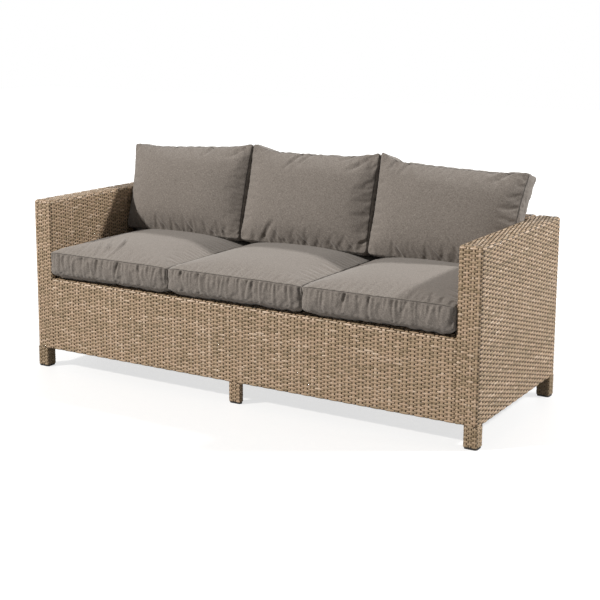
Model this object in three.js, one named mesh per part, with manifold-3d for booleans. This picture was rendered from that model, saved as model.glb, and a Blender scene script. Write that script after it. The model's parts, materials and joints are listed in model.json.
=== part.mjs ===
// Rattan garden sofa for three: woven panels over welded tube frames, on six short legs,
// with three loose seat cushions and three loose back cushions.
// Millimetres. X runs along the length, the front faces -Y, and Z rises from the floor.

import * as THREE from "three";
import { RoundedBoxGeometry } from "three/addons/geometries/RoundedBoxGeometry.js";
import { mergeVertices } from "three/addons/utils/BufferGeometryUtils.js";
import Module from "manifold-3d";

const wasm = await Module();
wasm.setup();

// The whole sofa
const sofaLength = 1900;
const sofaDepth = 728;
const armHeight = 676;
const panelThickness = 88;
const floorClearance = 80;
const rimHeight = 367;
const seatCount = 3;

// Clearance between pieces that touch, and how far a cut runs past what it cuts
const seatedGap = 0.3;
const cutOverrun = 20;

// Woven skin of the panels, rim and legs
const weaveThickness = 6;
const panelEdgeRadius = 10;
const panelEdgeSteps = 2;

// Ribs of the woven skin: the stakes that stand out of the weave, every second one on an arm
// and every third one on the back and the apron
const ribHeight = 2.8;
const ribWidth = 9;
const armRibCount = 13;
const armRibSpacing = 53.6;
const longRibCount = 21;
const longRibSpacing = 81.86;

// Legs and their plastic glides
const legWidth = 52;
const legDepth = 48;
const centreLegDepth = 24;
const legCornerSteps = 2;
const postWall = 2;
const glideHeight = 6;
const glideInset = 2;
const plugHeight = 14;

// Frame tubes
const roundTubeDiameter = 22;
const roundTubeWall = 1.5;
const roundTubeSides = 8;
const squareTubeSize = 25;
const squareTubeWall = 2;
const squareTubeRadius = 3;
const rungDiameter = 16;
const rungWall = 1.2;
const rungSides = 6;
const topRungInset = 60;

// Bolts that hold the arms and the back to the seat frame
const boltDiameter = 8;
const boltHeadDiameter = 14;
const boltHeadHeight = 8;
const boltSides = 10;
const boltSocketSize = 6.9;
const boltSocketDepth = 4;
const boltTipLength = 12;
const boltHoleClearance = 0.4;
const nutCollarDiameter = 14;
const nutCollarLength = 7;
const armBoltPlaceShares = [-0.62, 0.5];
const backBoltPlaceShares = [-0.6, 0.6];

// Seat cushions: boxed, flat below, crowned on top
const cushionSideGap = 2.4;
const seatCushionSetback = 2;
const seatCushionRearGap = 4;
const seatLowerRoll = 20;
const seatBoxing = 80;
const seatCrown = 25;
const seatBoxingBulge = 3;
const seatDrawIn = 4;
const seatCornerRadius = 24;

// Back cushions: boxed, crowned on both faces, leaning on the back panel's top edge
const backCushionHeight = 402;
const backBoxing = 90;
const backFrontCrown = 45;
const backRearCrown = 40;
const backBoxingBulge = 2;
const backSideDrawIn = 14;
const backTopDrawIn = 24;
const backCornerRadius = 22;
const backLeanDegrees = 15.6;

// Rings of a cushion's face, from its seam to its middle, as shares of the outline,
// and how the crown rises over them
const crownRingShares = [0.985, 0.95, 0.88, 0.78, 0.66, 0.5, 0.28];
const flatRingShares = [0.6, 0.93];
const lowerRollRingShare = 0.985;
const lowerRollHeightShare = 0.35;
const crownEdgePower = 3;
const crownRisePower = 0.6;
const cushionSideSteps = 5;
const cushionCornerSteps = 3;

// Places worked out from the sizes above
const halfLength = sofaLength / 2;
const halfDepth = sofaDepth / 2;
const seatHalfLength = halfLength - panelThickness;
const cushionPitch = (2 * seatHalfLength) / seatCount;
const panelInset = weaveThickness + seatedGap;
const innerEdgeRadius = panelEdgeRadius - weaveThickness;
const roundTubeRadius = roundTubeDiameter / 2;
const legBottom = glideHeight + seatedGap;
const postWidth = legWidth - 2 * panelInset;
const postDepth = legDepth - 2 * panelInset;
const centrePostDepth = centreLegDepth - 2 * panelInset;
const postTop = armHeight - weaveThickness - innerEdgeRadius;
const rearInside = halfDepth - panelThickness;
const frameTop = rimHeight - panelInset;
const squareRailHeight = frameTop - squareTubeSize / 2;
const roundRailHeight = frameTop - roundTubeRadius;
const frontRailY = -halfDepth + panelInset + roundTubeRadius;
const lowerRailHeight = floorClearance + panelInset + roundTubeRadius;
const panelLowerRailHeight = floorClearance + roundTubeRadius;
const panelTopRailHeight = armHeight - panelInset - roundTubeRadius;

// Materials
function finish(color, roughness, metalness) {
  return new THREE.MeshStandardMaterial({ color, roughness, metalness });
}
const weaveFinish = finish(0xb2997c, 0.7, 0);
const tubeFinish = finish(0x8c8478, 0.5, 0.6);
const glideFinish = finish(0x2a2522, 0.6, 0);
const boltFinish = finish(0xb8b8b6, 0.35, 1);
const fabricFinish = finish(0x8f8781, 0.95, 0);

const sofa = new THREE.Group();

// A closed geometry as a solid that can be joined and cut.
function solidOf(geometry) {
  const bare = geometry.clone();
  bare.deleteAttribute("normal");
  bare.deleteAttribute("uv");
  const merged = mergeVertices(bare, 1e-4);
  return new wasm.Manifold(
    new wasm.Mesh({
      numProp: 3,
      vertProperties: merged.attributes.position.array,
      triVerts: new Uint32Array(merged.index.array),
    }),
  );
}

// The solid as a geometry with flat faces.
function geometryOf(solid) {
  const mesh = solid.getMesh();
  const geometry = new THREE.BufferGeometry();
  geometry.setAttribute("position", new THREE.Float32BufferAttribute(mesh.vertProperties, 3));
  geometry.setIndex(new THREE.Uint32BufferAttribute(mesh.triVerts, 1));
  const loose = geometry.toNonIndexed();
  loose.computeVertexNormals();
  return loose;
}

function addPiece(parent, name, shape, material) {
  const geometry = shape.isBufferGeometry ? shape : geometryOf(shape);
  const mesh = new THREE.Mesh(geometry, material);
  mesh.name = name;
  parent.add(mesh);
  return mesh;
}

// Outline of a rectangle with round corners, centred, anticlockwise.
function rectangleOutline(width, height, radius, cornerSteps) {
  const points = [];
  const quarter = Math.PI / 2;
  for (let corner = 0; corner < 4; corner += 1) {
    const signX = corner === 0 || corner === 3 ? 1 : -1;
    const signY = corner < 2 ? 1 : -1;
    for (let step = 0; step <= cornerSteps; step += 1) {
      const angle = quarter * (corner + step / cornerSteps);
      points.push(
        new THREE.Vector2(
          signX * (width / 2 - radius) + radius * Math.cos(angle),
          signY * (height / 2 - radius) + radius * Math.sin(angle),
        ),
      );
    }
  }
  return points;
}

function circleOutline(diameter, sides) {
  const points = [];
  for (let side = 0; side < sides; side += 1) {
    const angle = (2 * Math.PI * side) / sides;
    const x = (diameter / 2) * Math.cos(angle);
    const y = (diameter / 2) * Math.sin(angle);
    points.push(new THREE.Vector2(x, y));
  }
  return points;
}

// A straight solid bar of the given outline from one point to another.
function bar(outline, start, end) {
  const along = end.clone().sub(start);
  const geometry = new THREE.ExtrudeGeometry(new THREE.Shape(outline), {
    depth: along.length(),
    bevelEnabled: false,
    curveSegments: 1,
  });
  const turn = new THREE.Quaternion().setFromUnitVectors(
    new THREE.Vector3(0, 0, 1),
    along.normalize(),
  );
  geometry.applyQuaternion(turn);
  geometry.translate(start.x, start.y, start.z);
  return solidOf(geometry);
}

function point(x, y, z) {
  return new THREE.Vector3(x, y, z);
}

// Tube sections: an outside outline and a bore outline.
const roundSection = {
  outside: circleOutline(roundTubeDiameter, roundTubeSides),
  bore: circleOutline(roundTubeDiameter - 2 * roundTubeWall, roundTubeSides),
};
const rungSection = {
  outside: circleOutline(rungDiameter, rungSides),
  bore: circleOutline(rungDiameter - 2 * rungWall, rungSides),
};
const squareSection = {
  outside: rectangleOutline(squareTubeSize, squareTubeSize, squareTubeRadius, 1),
  bore: rectangleOutline(
    squareTubeSize - 2 * squareTubeWall,
    squareTubeSize - 2 * squareTubeWall,
    squareTubeRadius - squareTubeWall,
    1,
  ),
};
function postSection(depth) {
  const radius = innerEdgeRadius - seatedGap;
  return {
    outside: rectangleOutline(postWidth, depth, radius, legCornerSteps),
    bore: rectangleOutline(
      postWidth - 2 * postWall,
      depth - 2 * postWall,
      radius - postWall,
      legCornerSteps,
    ),
  };
}

// A member of a welded frame. A rail's bore runs out of both its ends. A rung starts and ends
// on the axes of the rails that it joins, and its bore opens into theirs.
function railMember(section, start, end) {
  const past = end.clone().sub(start).setLength(cutOverrun);
  return {
    outside: bar(section.outside, start, end),
    bore: bar(section.bore, start.clone().sub(past), end.clone().add(past)),
  };
}
function rungMember(start, end) {
  return {
    outside: bar(rungSection.outside, start, end),
    bore: bar(rungSection.bore, start, end),
  };
}

// Members welded into one piece: their outsides joined, then every bore cut.
function weld(members) {
  const joined = members.map((m) => m.outside).reduce((a, b) => a.add(b));
  return members.map((m) => m.bore).reduce((a, b) => a.subtract(b), joined);
}

function tube(section, start, end) {
  return weld([railMember(section, start, end)]);
}

// Solid block between two corners.
function block(low, high) {
  const geometry = new THREE.BoxGeometry(high.x - low.x, high.y - low.y, high.z - low.z);
  const middle = low.clone().add(high).multiplyScalar(1 / 2);
  geometry.translate(middle.x, middle.y, middle.z);
  return solidOf(geometry);
}

function roundedBlock(low, high, radius) {
  const geometry = new RoundedBoxGeometry(
    high.x - low.x,
    high.y - low.y,
    high.z - low.z,
    panelEdgeSteps,
    radius,
  );
  const middle = low.clone().add(high).multiplyScalar(1 / 2);
  geometry.translate(middle.x, middle.y, middle.z);
  return solidOf(geometry);
}

// The stakes' ribs as slabs across a panel, along its length, and the solid ends beyond them.
function ribSlabs(low, high, direction, spacing, count) {
  const slab = (from, to) => {
    const start = low.clone().sub(point(cutOverrun, cutOverrun, cutOverrun));
    const end = high.clone().add(point(cutOverrun, cutOverrun, cutOverrun));
    start[direction] = from;
    end[direction] = to;
    return block(start, end);
  };
  const middle = (low[direction] + high[direction]) / 2;
  const places = Array.from({ length: count }, (_, i) => middle + (i - (count - 1) / 2) * spacing);
  const ribs = places.map((place) => slab(place - ribWidth / 2, place + ribWidth / 2));
  const ends = [
    slab(low[direction] - cutOverrun, low[direction] + panelEdgeRadius),
    slab(high[direction] - panelEdgeRadius, high[direction] + cutOverrun),
  ];
  return ribs.concat(ends).reduce((a, b) => a.add(b));
}

// Woven skin round a panel: rounded edges, walls one weave thick with the stakes' ribs
// standing out of them, open underneath.
function panelSkin(low, high, direction, spacing, count) {
  const below = point(0, 0, -cutOverrun);
  const inset = point(weaveThickness, weaveThickness, 0);
  const roof = point(0, 0, weaveThickness);
  const raised = point(0, 0, ribHeight);
  const field = point(ribHeight, ribHeight, 0);
  field[direction] = 0;
  const ground = roundedBlock(
    low.clone().add(field).add(below),
    high.clone().sub(field).sub(raised),
    panelEdgeRadius - ribHeight,
  );
  const ribs = ribSlabs(low, high, direction, spacing, count);
  const outside = roundedBlock(low.clone().add(below), high, panelEdgeRadius).intersect(
    ground.add(ribs),
  );
  const hollow = roundedBlock(
    low.clone().add(inset).add(below).add(below),
    high.clone().sub(inset).sub(roof),
    innerEdgeRadius,
  );
  const past = point(cutOverrun, cutOverrun, cutOverrun);
  const underside = block(
    low.clone().add(below).sub(past),
    point(high.x + cutOverrun, high.y + cutOverrun, low.z),
  );
  return outside.subtract(hollow).subtract(underside);
}

// Clearance hole for a bolt.
function boltHole(start, end) {
  return bar(circleOutline(boltDiameter + 2 * boltHoleClearance, boltSides), start, end);
}

// Socket-head bolt along +Z with the underside of its head at zero.
function boltShape(gripLength) {
  const shank = boltDiameter / 2;
  const head = boltHeadDiameter / 2;
  const chamfer = boltSocketDepth / 4;
  const length = gripLength + boltTipLength;
  const profile = [
    new THREE.Vector2(0, -boltHeadHeight),
    new THREE.Vector2(head - chamfer, -boltHeadHeight),
    new THREE.Vector2(head, chamfer - boltHeadHeight),
    new THREE.Vector2(head, 0),
    new THREE.Vector2(shank, 0),
    new THREE.Vector2(shank, length - chamfer),
    new THREE.Vector2(shank - chamfer, length),
    new THREE.Vector2(0, length),
  ];
  const body = solidOf(new THREE.LatheGeometry(profile, boltSides).rotateX(Math.PI / 2));
  const socket = bar(
    circleOutline(boltSocketSize, 6),
    point(0, 0, -boltHeadHeight - cutOverrun),
    point(0, 0, boltSocketDepth - boltHeadHeight),
  );
  return body.subtract(socket);
}

// One arm is a panel with a leg at each end. Its frame is a ladder at each end, whose outer
// upright is the leg post, and a ladder along the top and the bottom.
function arm(side, sign) {
  const group = new THREE.Group();
  const outerX = sign * halfLength;
  const innerX = sign * seatHalfLength;
  const railOuterX = outerX - sign * (panelInset + roundTubeRadius);
  const railInnerX = innerX + sign * (panelInset + roundTubeRadius);
  const postX = outerX - sign * (panelInset + postWidth / 2);
  const rungY = halfDepth - panelInset - roundTubeRadius;
  const postY = halfDepth - panelInset - postDepth / 2;
  const outerRailEnd = halfDepth - panelInset - postDepth - seatedGap;
  const innerRailEnd = halfDepth - panelInset - roundTubeDiameter - seatedGap;
  const rungHeights = [
    panelLowerRailHeight,
    squareRailHeight,
    armHeight - topRungInset,
  ];
  for (const end of ["front", "rear"]) {
    const facing = end === "front" ? -1 : 1;
    const members = [
      railMember(
        postSection(postDepth),
        point(postX, facing * postY, legBottom),
        point(postX, facing * postY, postTop),
      ),
      railMember(
        roundSection,
        point(railInnerX, facing * rungY, floorClearance),
        point(railInnerX, facing * rungY, postTop),
      ),
      ...rungHeights.map((z) =>
        rungMember(point(postX, facing * rungY, z), point(railInnerX, facing * rungY, z)),
      ),
    ];
    addPiece(group, `${side}_arm_${end}_leg_frame`, weld(members), tubeFinish);
  }
  const levels = { top: panelTopRailHeight, bottom: panelLowerRailHeight };
  for (const [level, z] of Object.entries(levels)) {
    const rungSpread = innerRailEnd - squareTubeSize;
    const members = [
      railMember(
        roundSection,
        point(railOuterX, -outerRailEnd, z),
        point(railOuterX, outerRailEnd, z),
      ),
      railMember(
        roundSection,
        point(railInnerX, -innerRailEnd, z),
        point(railInnerX, innerRailEnd, z),
      ),
      ...[-rungSpread, 0, rungSpread].map((y) =>
        rungMember(point(railOuterX, y, z), point(railInnerX, y, z)),
      ),
    ];
    addPiece(group, `${side}_arm_${level}_ladder`, weld(members), tubeFinish);
  }
  const seatRailX = innerX + sign * (panelInset + squareTubeSize / 2);
  let seatRail = tube(
    squareSection,
    point(seatRailX, -innerRailEnd, squareRailHeight),
    point(seatRailX, innerRailEnd, squareRailHeight),
  );
  let skin = panelSkin(
    point(Math.min(outerX, innerX), -halfDepth, floorClearance),
    point(Math.max(outerX, innerX), halfDepth, armHeight),
    "y",
    armRibSpacing,
    armRibCount,
  );
  const wallX = innerX + sign * (panelInset + squareTubeWall / 2);
  for (const place of armBoltPlaceShares) {
    const y = place * halfDepth;
    const collar = bar(
      circleOutline(nutCollarDiameter, boltSides),
      point(wallX, y, squareRailHeight),
      point(wallX + sign * nutCollarLength, y, squareRailHeight),
    );
    const hole = boltHole(
      point(innerX - sign * cutOverrun, y, squareRailHeight),
      point(wallX + sign * (nutCollarLength + squareTubeWall), y, squareRailHeight),
    );
    seatRail = seatRail.add(collar).subtract(hole);
    skin = skin.subtract(hole);
  }
  addPiece(group, `${side}_arm_seat_rail`, seatRail, tubeFinish);
  addPiece(group, `${side}_arm_weave`, skin, weaveFinish);
  return group;
}

// The back panel stands between the arms on the same level as their undersides.
function backPanel() {
  const group = new THREE.Group();
  const end = seatHalfLength - seatedGap;
  const uprightX = end - panelInset - roundTubeRadius;
  const frontY = rearInside + panelInset + roundTubeRadius;
  const rearY = halfDepth - panelInset - roundTubeRadius;
  const railEnd = uprightX - roundTubeRadius - seatedGap;
  const rungHeights = [
    panelLowerRailHeight,
    squareRailHeight,
    armHeight - topRungInset,
  ];
  for (const [side, sign] of [["left", -1], ["right", 1]]) {
    const x = sign * uprightX;
    const members = [
      railMember(roundSection, point(x, frontY, floorClearance), point(x, frontY, postTop)),
      railMember(roundSection, point(x, rearY, floorClearance), point(x, rearY, postTop)),
      ...rungHeights.map((z) => rungMember(point(x, frontY, z), point(x, rearY, z))),
    ];
    addPiece(group, `back_${side}_ladder`, weld(members), tubeFinish);
  }
  const levels = { top: panelTopRailHeight, bottom: panelLowerRailHeight };
  for (const [level, z] of Object.entries(levels)) {
    const rungSpread = railEnd - squareTubeSize;
    const members = [
      railMember(roundSection, point(-railEnd, frontY, z), point(railEnd, frontY, z)),
      railMember(roundSection, point(-railEnd, rearY, z), point(railEnd, rearY, z)),
      ...[-rungSpread, 0, rungSpread].map((x) =>
        rungMember(point(x, frontY, z), point(x, rearY, z)),
      ),
    ];
    addPiece(group, `back_${level}_ladder`, weld(members), tubeFinish);
  }
  const uprightLow = panelLowerRailHeight + roundTubeRadius + seatedGap;
  const uprightHigh = panelTopRailHeight - roundTubeRadius - seatedGap;
  addPiece(
    group,
    "back_centre_upright",
    tube(roundSection, point(0, rearY, uprightLow), point(0, rearY, uprightHigh)),
    tubeFinish,
  );
  const railY = rearInside + panelInset + squareTubeSize / 2;
  let seatRail = tube(
    squareSection,
    point(-railEnd, railY, squareRailHeight),
    point(railEnd, railY, squareRailHeight),
  );
  let skin = panelSkin(
    point(-end, rearInside, floorClearance),
    point(end, halfDepth, armHeight),
    "x",
    longRibSpacing,
    longRibCount,
  );
  const wallY = rearInside + panelInset + squareTubeWall / 2;
  for (const place of backBoltPlaceShares) {
    const x = place * seatHalfLength;
    const collar = bar(
      circleOutline(nutCollarDiameter, boltSides),
      point(x, wallY, squareRailHeight),
      point(x, wallY + nutCollarLength, squareRailHeight),
    );
    const hole = boltHole(
      point(x, rearInside - cutOverrun, squareRailHeight),
      point(x, wallY + nutCollarLength + squareTubeWall, squareRailHeight),
    );
    seatRail = seatRail.add(collar).subtract(hole);
    skin = skin.subtract(hole);
  }
  addPiece(group, "back_seat_rail", seatRail, tubeFinish);
  addPiece(group, "back_weave", skin, weaveFinish);
  return group;
}

// The front apron's weave hooks round the lower rail, runs up the front and rolls over the
// top rail: a strip of one weave's thickness, carried along X.
function apronWeave(end) {
  const innerRadius = roundTubeRadius + seatedGap;
  const outerRadius = innerRadius + weaveThickness;
  const steps = roundTubeSides / 2;
  const outer = [];
  const inner = [];
  const lowerTurn = Math.PI;
  const upperTurn = Math.PI / 2;
  for (let step = 0; step <= steps; step += 1) {
    const angle = -(lowerTurn * step) / steps;
    outer.push([frontRailY, lowerRailHeight, outerRadius, angle]);
    inner.push([frontRailY, lowerRailHeight, innerRadius, angle]);
  }
  for (let step = 0; step <= steps / 2; step += 1) {
    const angle = Math.PI - (upperTurn * step) / (steps / 2);
    outer.push([frontRailY, roundRailHeight, outerRadius, angle]);
    inner.push([frontRailY, roundRailHeight, innerRadius, angle]);
  }
  const onArc = ([y, z, radius, angle]) =>
    new THREE.Vector2(y + radius * Math.cos(angle), z + radius * Math.sin(angle));
  const outline = [...outer.map(onArc), ...inner.reverse().map(onArc)];
  const geometry = new THREE.ExtrudeGeometry(new THREE.Shape(outline), {
    depth: 2 * end,
    bevelEnabled: false,
    curveSegments: 1,
  });
  // The outline's own x and y become the sofa's Y and Z.
  const turn = new THREE.Matrix4().makeBasis(point(0, 1, 0), point(0, 0, 1), point(1, 0, 0));
  geometry.applyMatrix4(turn);
  geometry.translate(-end, 0, 0);
  return solidOf(geometry);
}

// The seat base: rails, three cross bars, three uprights under the front rail, the woven
// apron and the woven deck.
function seatBase() {
  const group = new THREE.Group();
  const end = seatHalfLength - seatedGap;
  const sideRailX = end - squareTubeSize / 2;
  const sideRailFront = frontRailY + roundTubeRadius + seatedGap;
  const deckRear = rearInside - seatedGap;
  const rearRailY = deckRear - squareTubeSize / 2;
  const rearRailEnd = sideRailX - squareTubeSize / 2 - seatedGap;
  const headX = sideRailX - squareTubeSize / 2;
  for (const [side, sign] of [["left", -1], ["right", 1]]) {
    let rail = tube(
      squareSection,
      point(sign * sideRailX, sideRailFront, squareRailHeight),
      point(sign * sideRailX, deckRear, squareRailHeight),
    );
    armBoltPlaceShares.forEach((place, index) => {
      const y = place * halfDepth;
      rail = rail.subtract(
        boltHole(
          point(sign * (headX - cutOverrun), y, squareRailHeight),
          point(sign * (end + cutOverrun), y, squareRailHeight),
        ),
      );
      const grip = squareTubeSize + panelInset + seatedGap;
      const bolt = addPiece(
        group,
        `${side}_arm_bolt_${index === 0 ? "front" : "rear"}`,
        boltShape(grip),
        boltFinish,
      );
      bolt.rotation.y = (sign * Math.PI) / 2;
      bolt.position.set(sign * (headX - seatedGap), y, squareRailHeight);
    });
    addPiece(group, `seat_${side}_rail`, rail, tubeFinish);
  }
  let rearRail = tube(
    squareSection,
    point(-rearRailEnd, rearRailY, squareRailHeight),
    point(rearRailEnd, rearRailY, squareRailHeight),
  );
  const rearRailFront = rearRailY - squareTubeSize / 2;
  backBoltPlaceShares.forEach((place, index) => {
    const x = place * seatHalfLength;
    rearRail = rearRail.subtract(
      boltHole(
        point(x, rearRailFront - cutOverrun, squareRailHeight),
        point(x, deckRear + cutOverrun, squareRailHeight),
      ),
    );
    const grip = squareTubeSize + panelInset + seatedGap;
    const bolt = addPiece(
      group,
      `back_bolt_${index === 0 ? "left" : "right"}`,
      boltShape(grip),
      boltFinish,
    );
    bolt.rotation.x = -Math.PI / 2;
    bolt.position.set(x, rearRailFront - seatedGap, squareRailHeight);
  });
  addPiece(group, "seat_rear_rail", rearRail, tubeFinish);
  addPiece(
    group,
    "seat_front_top_rail",
    tube(roundSection, point(-end, frontRailY, roundRailHeight), point(end, frontRailY, roundRailHeight)),
    tubeFinish,
  );
  addPiece(
    group,
    "seat_front_lower_rail",
    tube(roundSection, point(-end, frontRailY, lowerRailHeight), point(end, frontRailY, lowerRailHeight)),
    tubeFinish,
  );
  const uprightLow = lowerRailHeight + roundTubeRadius + seatedGap;
  const uprightHigh = roundRailHeight - roundTubeRadius - seatedGap;
  const uprightPlaces = {
    left: -(end - roundTubeRadius),
    centre: 0,
    right: end - roundTubeRadius,
  };
  for (const [place, x] of Object.entries(uprightPlaces)) {
    addPiece(
      group,
      `seat_front_${place}_upright`,
      tube(roundSection, point(x, frontRailY, uprightLow), point(x, frontRailY, uprightHigh)),
      tubeFinish,
    );
  }
  const crossBarPlaces = { left: -cushionPitch / 2, centre: 0, right: cushionPitch / 2 };
  for (const [place, x] of Object.entries(crossBarPlaces)) {
    addPiece(
      group,
      `seat_cross_bar_${place}`,
      tube(
        squareSection,
        point(x, sideRailFront, squareRailHeight),
        point(x, rearRailFront - seatedGap, squareRailHeight),
      ),
      tubeFinish,
    );
  }
  const postHalfWidth = postWidth / 2 + seatedGap;
  const postSlot = block(
    point(-postHalfWidth, -halfDepth + weaveThickness, floorClearance - cutOverrun),
    point(
      postHalfWidth,
      -halfDepth + panelInset + centrePostDepth + seatedGap,
      lowerRailHeight,
    ),
  );
  const faceLow = point(-end, -halfDepth, lowerRailHeight);
  const faceHigh = point(end, -halfDepth + ribHeight, roundRailHeight);
  const ground = block(faceLow.clone().sub(point(0, cutOverrun, 0)), faceHigh).subtract(
    ribSlabs(faceLow, faceHigh, "x", longRibSpacing, longRibCount),
  );
  const apron = apronWeave(end).subtract(postSlot).subtract(ground);
  addPiece(group, "front_apron_weave", apron, weaveFinish);
  addPiece(
    group,
    "seat_deck_weave",
    block(
      point(-end, frontRailY + seatedGap, rimHeight - weaveThickness),
      point(end, deckRear, rimHeight),
    ),
    weaveFinish,
  );
  return group;
}

// A leg's woven sleeve, and its plastic glide with a plug in the post's bore.
function legSleeve(name, x, y, depth) {
  const outline = rectangleOutline(legWidth, depth, panelEdgeRadius, legCornerSteps);
  const bore = rectangleOutline(
    legWidth - 2 * weaveThickness,
    depth - 2 * weaveThickness,
    innerEdgeRadius,
    legCornerSteps,
  );
  const top = floorClearance - seatedGap;
  const sleeve = tube({ outside: outline, bore }, point(x, y, legBottom), point(x, y, top));
  addPiece(sofa, `${name}_leg_weave`, sleeve, weaveFinish);
}
function legGlide(name, x, y, depth) {
  const plate = bar(
    rectangleOutline(
      legWidth - 2 * glideInset,
      depth - 2 * glideInset,
      panelEdgeRadius - glideInset,
      legCornerSteps,
    ),
    point(x, y, 0),
    point(x, y, glideHeight),
  );
  const plugInset = panelInset + postWall + seatedGap;
  const plug = bar(
    rectangleOutline(
      legWidth - 2 * plugInset,
      depth - 2 * plugInset,
      panelEdgeRadius - plugInset,
      legCornerSteps,
    ),
    point(x, y, glideHeight / 2),
    point(x, y, glideHeight + plugHeight),
  );
  addPiece(sofa, `${name}_foot_glide`, plate.add(plug), glideFinish);
}
function legs() {
  const cornerX = halfLength - legWidth / 2;
  const cornerY = halfDepth - legDepth / 2;
  const centreY = halfDepth - centreLegDepth / 2;
  for (const [row, facing] of [["front", -1], ["rear", 1]]) {
    for (const [side, sign] of [["left", -1], ["right", 1]]) {
      legSleeve(`${row}_${side}`, sign * cornerX, facing * cornerY, legDepth);
      legGlide(`${row}_${side}`, sign * cornerX, facing * cornerY, legDepth);
    }
    legSleeve(`${row}_centre`, 0, facing * centreY, centreLegDepth);
    legGlide(`${row}_centre`, 0, facing * centreY, centreLegDepth);
    const railBottom = row === "front" ? lowerRailHeight - roundTubeRadius : floorClearance;
    addPiece(
      sofa,
      `${row}_centre_leg_post`,
      tube(
        postSection(centrePostDepth),
        point(0, facing * centreY, legBottom),
        point(0, facing * centreY, railBottom - seatedGap),
      ),
      tubeFinish,
    );
  }
}

// Outline of a cushion's seam: a rectangle with round corners whose sides pull in between
// them, by the given amount at each side's middle. Anticlockwise, centred on its corners.
function cushionOutline(width, height, radius, drawIn) {
  const points = [];
  const half = point(width / 2 - radius, height / 2 - radius, 0);
  const corners = [
    [half.x, -half.y],
    [half.x, half.y],
    [-half.x, half.y],
    [-half.x, -half.y],
  ];
  const pulls = [drawIn.sides, drawIn.top, drawIn.sides, drawIn.bottom];
  const quarter = Math.PI / 2;
  corners.forEach(([x, y], index) => {
    for (let step = 0; step < cushionCornerSteps; step += 1) {
      const angle = quarter * (index - 1 + step / cushionCornerSteps);
      points.push(
        new THREE.Vector2(x + radius * Math.cos(angle), y + radius * Math.sin(angle)),
      );
    }
    const [nextX, nextY] = corners[(index + 1) % corners.length];
    const outward = new THREE.Vector2(Math.cos(quarter * index), Math.sin(quarter * index));
    for (let step = 0; step < cushionSideSteps; step += 1) {
      const share = step / (cushionSideSteps - 1);
      const across = 2 * share - 1;
      const pull = pulls[index] * (1 - across * across);
      points.push(
        new THREE.Vector2(
          x + (nextX - x) * share + outward.x * (radius - pull),
          y + (nextY - y) * share + outward.y * (radius - pull),
        ),
      );
    }
  });
  return points;
}

// How high the crown stands over its seam at a share of the way from middle to seam.
function crownRise(share) {
  return (1 - share ** crownEdgePower) ** crownRisePower;
}

// A closed form from rings of equal count, each an outline scaled and lifted, between a
// lowest and a highest middle point.
function ringForm(outline, rings, lowest, highest) {
  const positions = [];
  for (const { share, bulge = 0, height } of rings) {
    for (const p of outline) {
      const reach = share * (1 + bulge / p.length());
      positions.push(p.x * reach, p.y * reach, height);
    }
  }
  const lowPole = positions.length / 3;
  positions.push(0, 0, lowest);
  positions.push(0, 0, highest);
  const count = outline.length;
  const index = [];
  for (let j = 0; j < count; j += 1) {
    const next = (j + 1) % count;
    index.push(lowPole, next, j);
    for (let i = 0; i + 1 < rings.length; i += 1) {
      const here = i * count;
      const above = here + count;
      index.push(here + j, here + next, above + next);
      index.push(here + j, above + next, above + j);
    }
    const last = (rings.length - 1) * count;
    index.push(last + j, last + next, lowPole + 1);
  }
  const geometry = new THREE.BufferGeometry();
  geometry.setAttribute("position", new THREE.Float32BufferAttribute(positions, 3));
  geometry.setIndex(index);
  geometry.computeVertexNormals();
  return geometry;
}

const cushionWidth = cushionPitch - 2 * cushionSideGap;
const seatCushionFront = -halfDepth + seatCushionSetback;
const seatCushionDepth = rearInside - seatCushionRearGap - seatCushionFront;
const seatCushionMiddle = seatCushionFront + seatCushionDepth / 2;
const seatCushionBottom = rimHeight + seatedGap;
const seatSeamHeight = seatCushionBottom + seatLowerRoll + seatBoxing;

function seatCushion() {
  const drawIn = { sides: seatDrawIn, top: seatDrawIn, bottom: seatDrawIn };
  const outline = cushionOutline(cushionWidth, seatCushionDepth, seatCornerRadius, drawIn);
  const upperSeam = seatLowerRoll + seatBoxing;
  const rings = [
    ...flatRingShares.map((share) => ({ share, height: 0 })),
    { share: lowerRollRingShare, height: lowerRollHeightShare * seatLowerRoll },
    { share: 1, height: seatLowerRoll },
    { share: 1, bulge: seatBoxingBulge / 2, height: seatLowerRoll + seatBoxing / 2 },
    { share: 1, height: upperSeam },
    ...crownRingShares.map((share) => ({
      share,
      height: upperSeam + seatCrown * crownRise(share),
    })),
  ];
  return ringForm(outline, rings, 0, upperSeam + seatCrown);
}

// Height of the seat cushions' top at a distance from the front.
function seatTopAt(y) {
  const reach = seatCushionDepth / 2 - seatDrawIn;
  const share = Math.min(Math.abs(y - seatCushionMiddle) / reach, 1);
  return seatSeamHeight + seatCrown * crownRise(share);
}

function backCushion() {
  const drawIn = { sides: backSideDrawIn, top: backTopDrawIn, bottom: 0 };
  const outline = cushionOutline(
    cushionWidth,
    backCushionHeight,
    backCornerRadius,
    drawIn,
  );
  const rings = [
    ...[...crownRingShares].reverse().map((share) => ({
      share,
      height: -backRearCrown * crownRise(share),
    })),
    { share: 1, height: 0 },
    { share: 1, bulge: backBoxingBulge / 2, height: backBoxing / 2 },
    { share: 1, height: backBoxing },
    ...crownRingShares.map((share) => ({
      share,
      height: backBoxing + backFrontCrown * crownRise(share),
    })),
  ];
  return ringForm(outline, rings, -backRearCrown, backBoxing + backFrontCrown);
}

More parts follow.
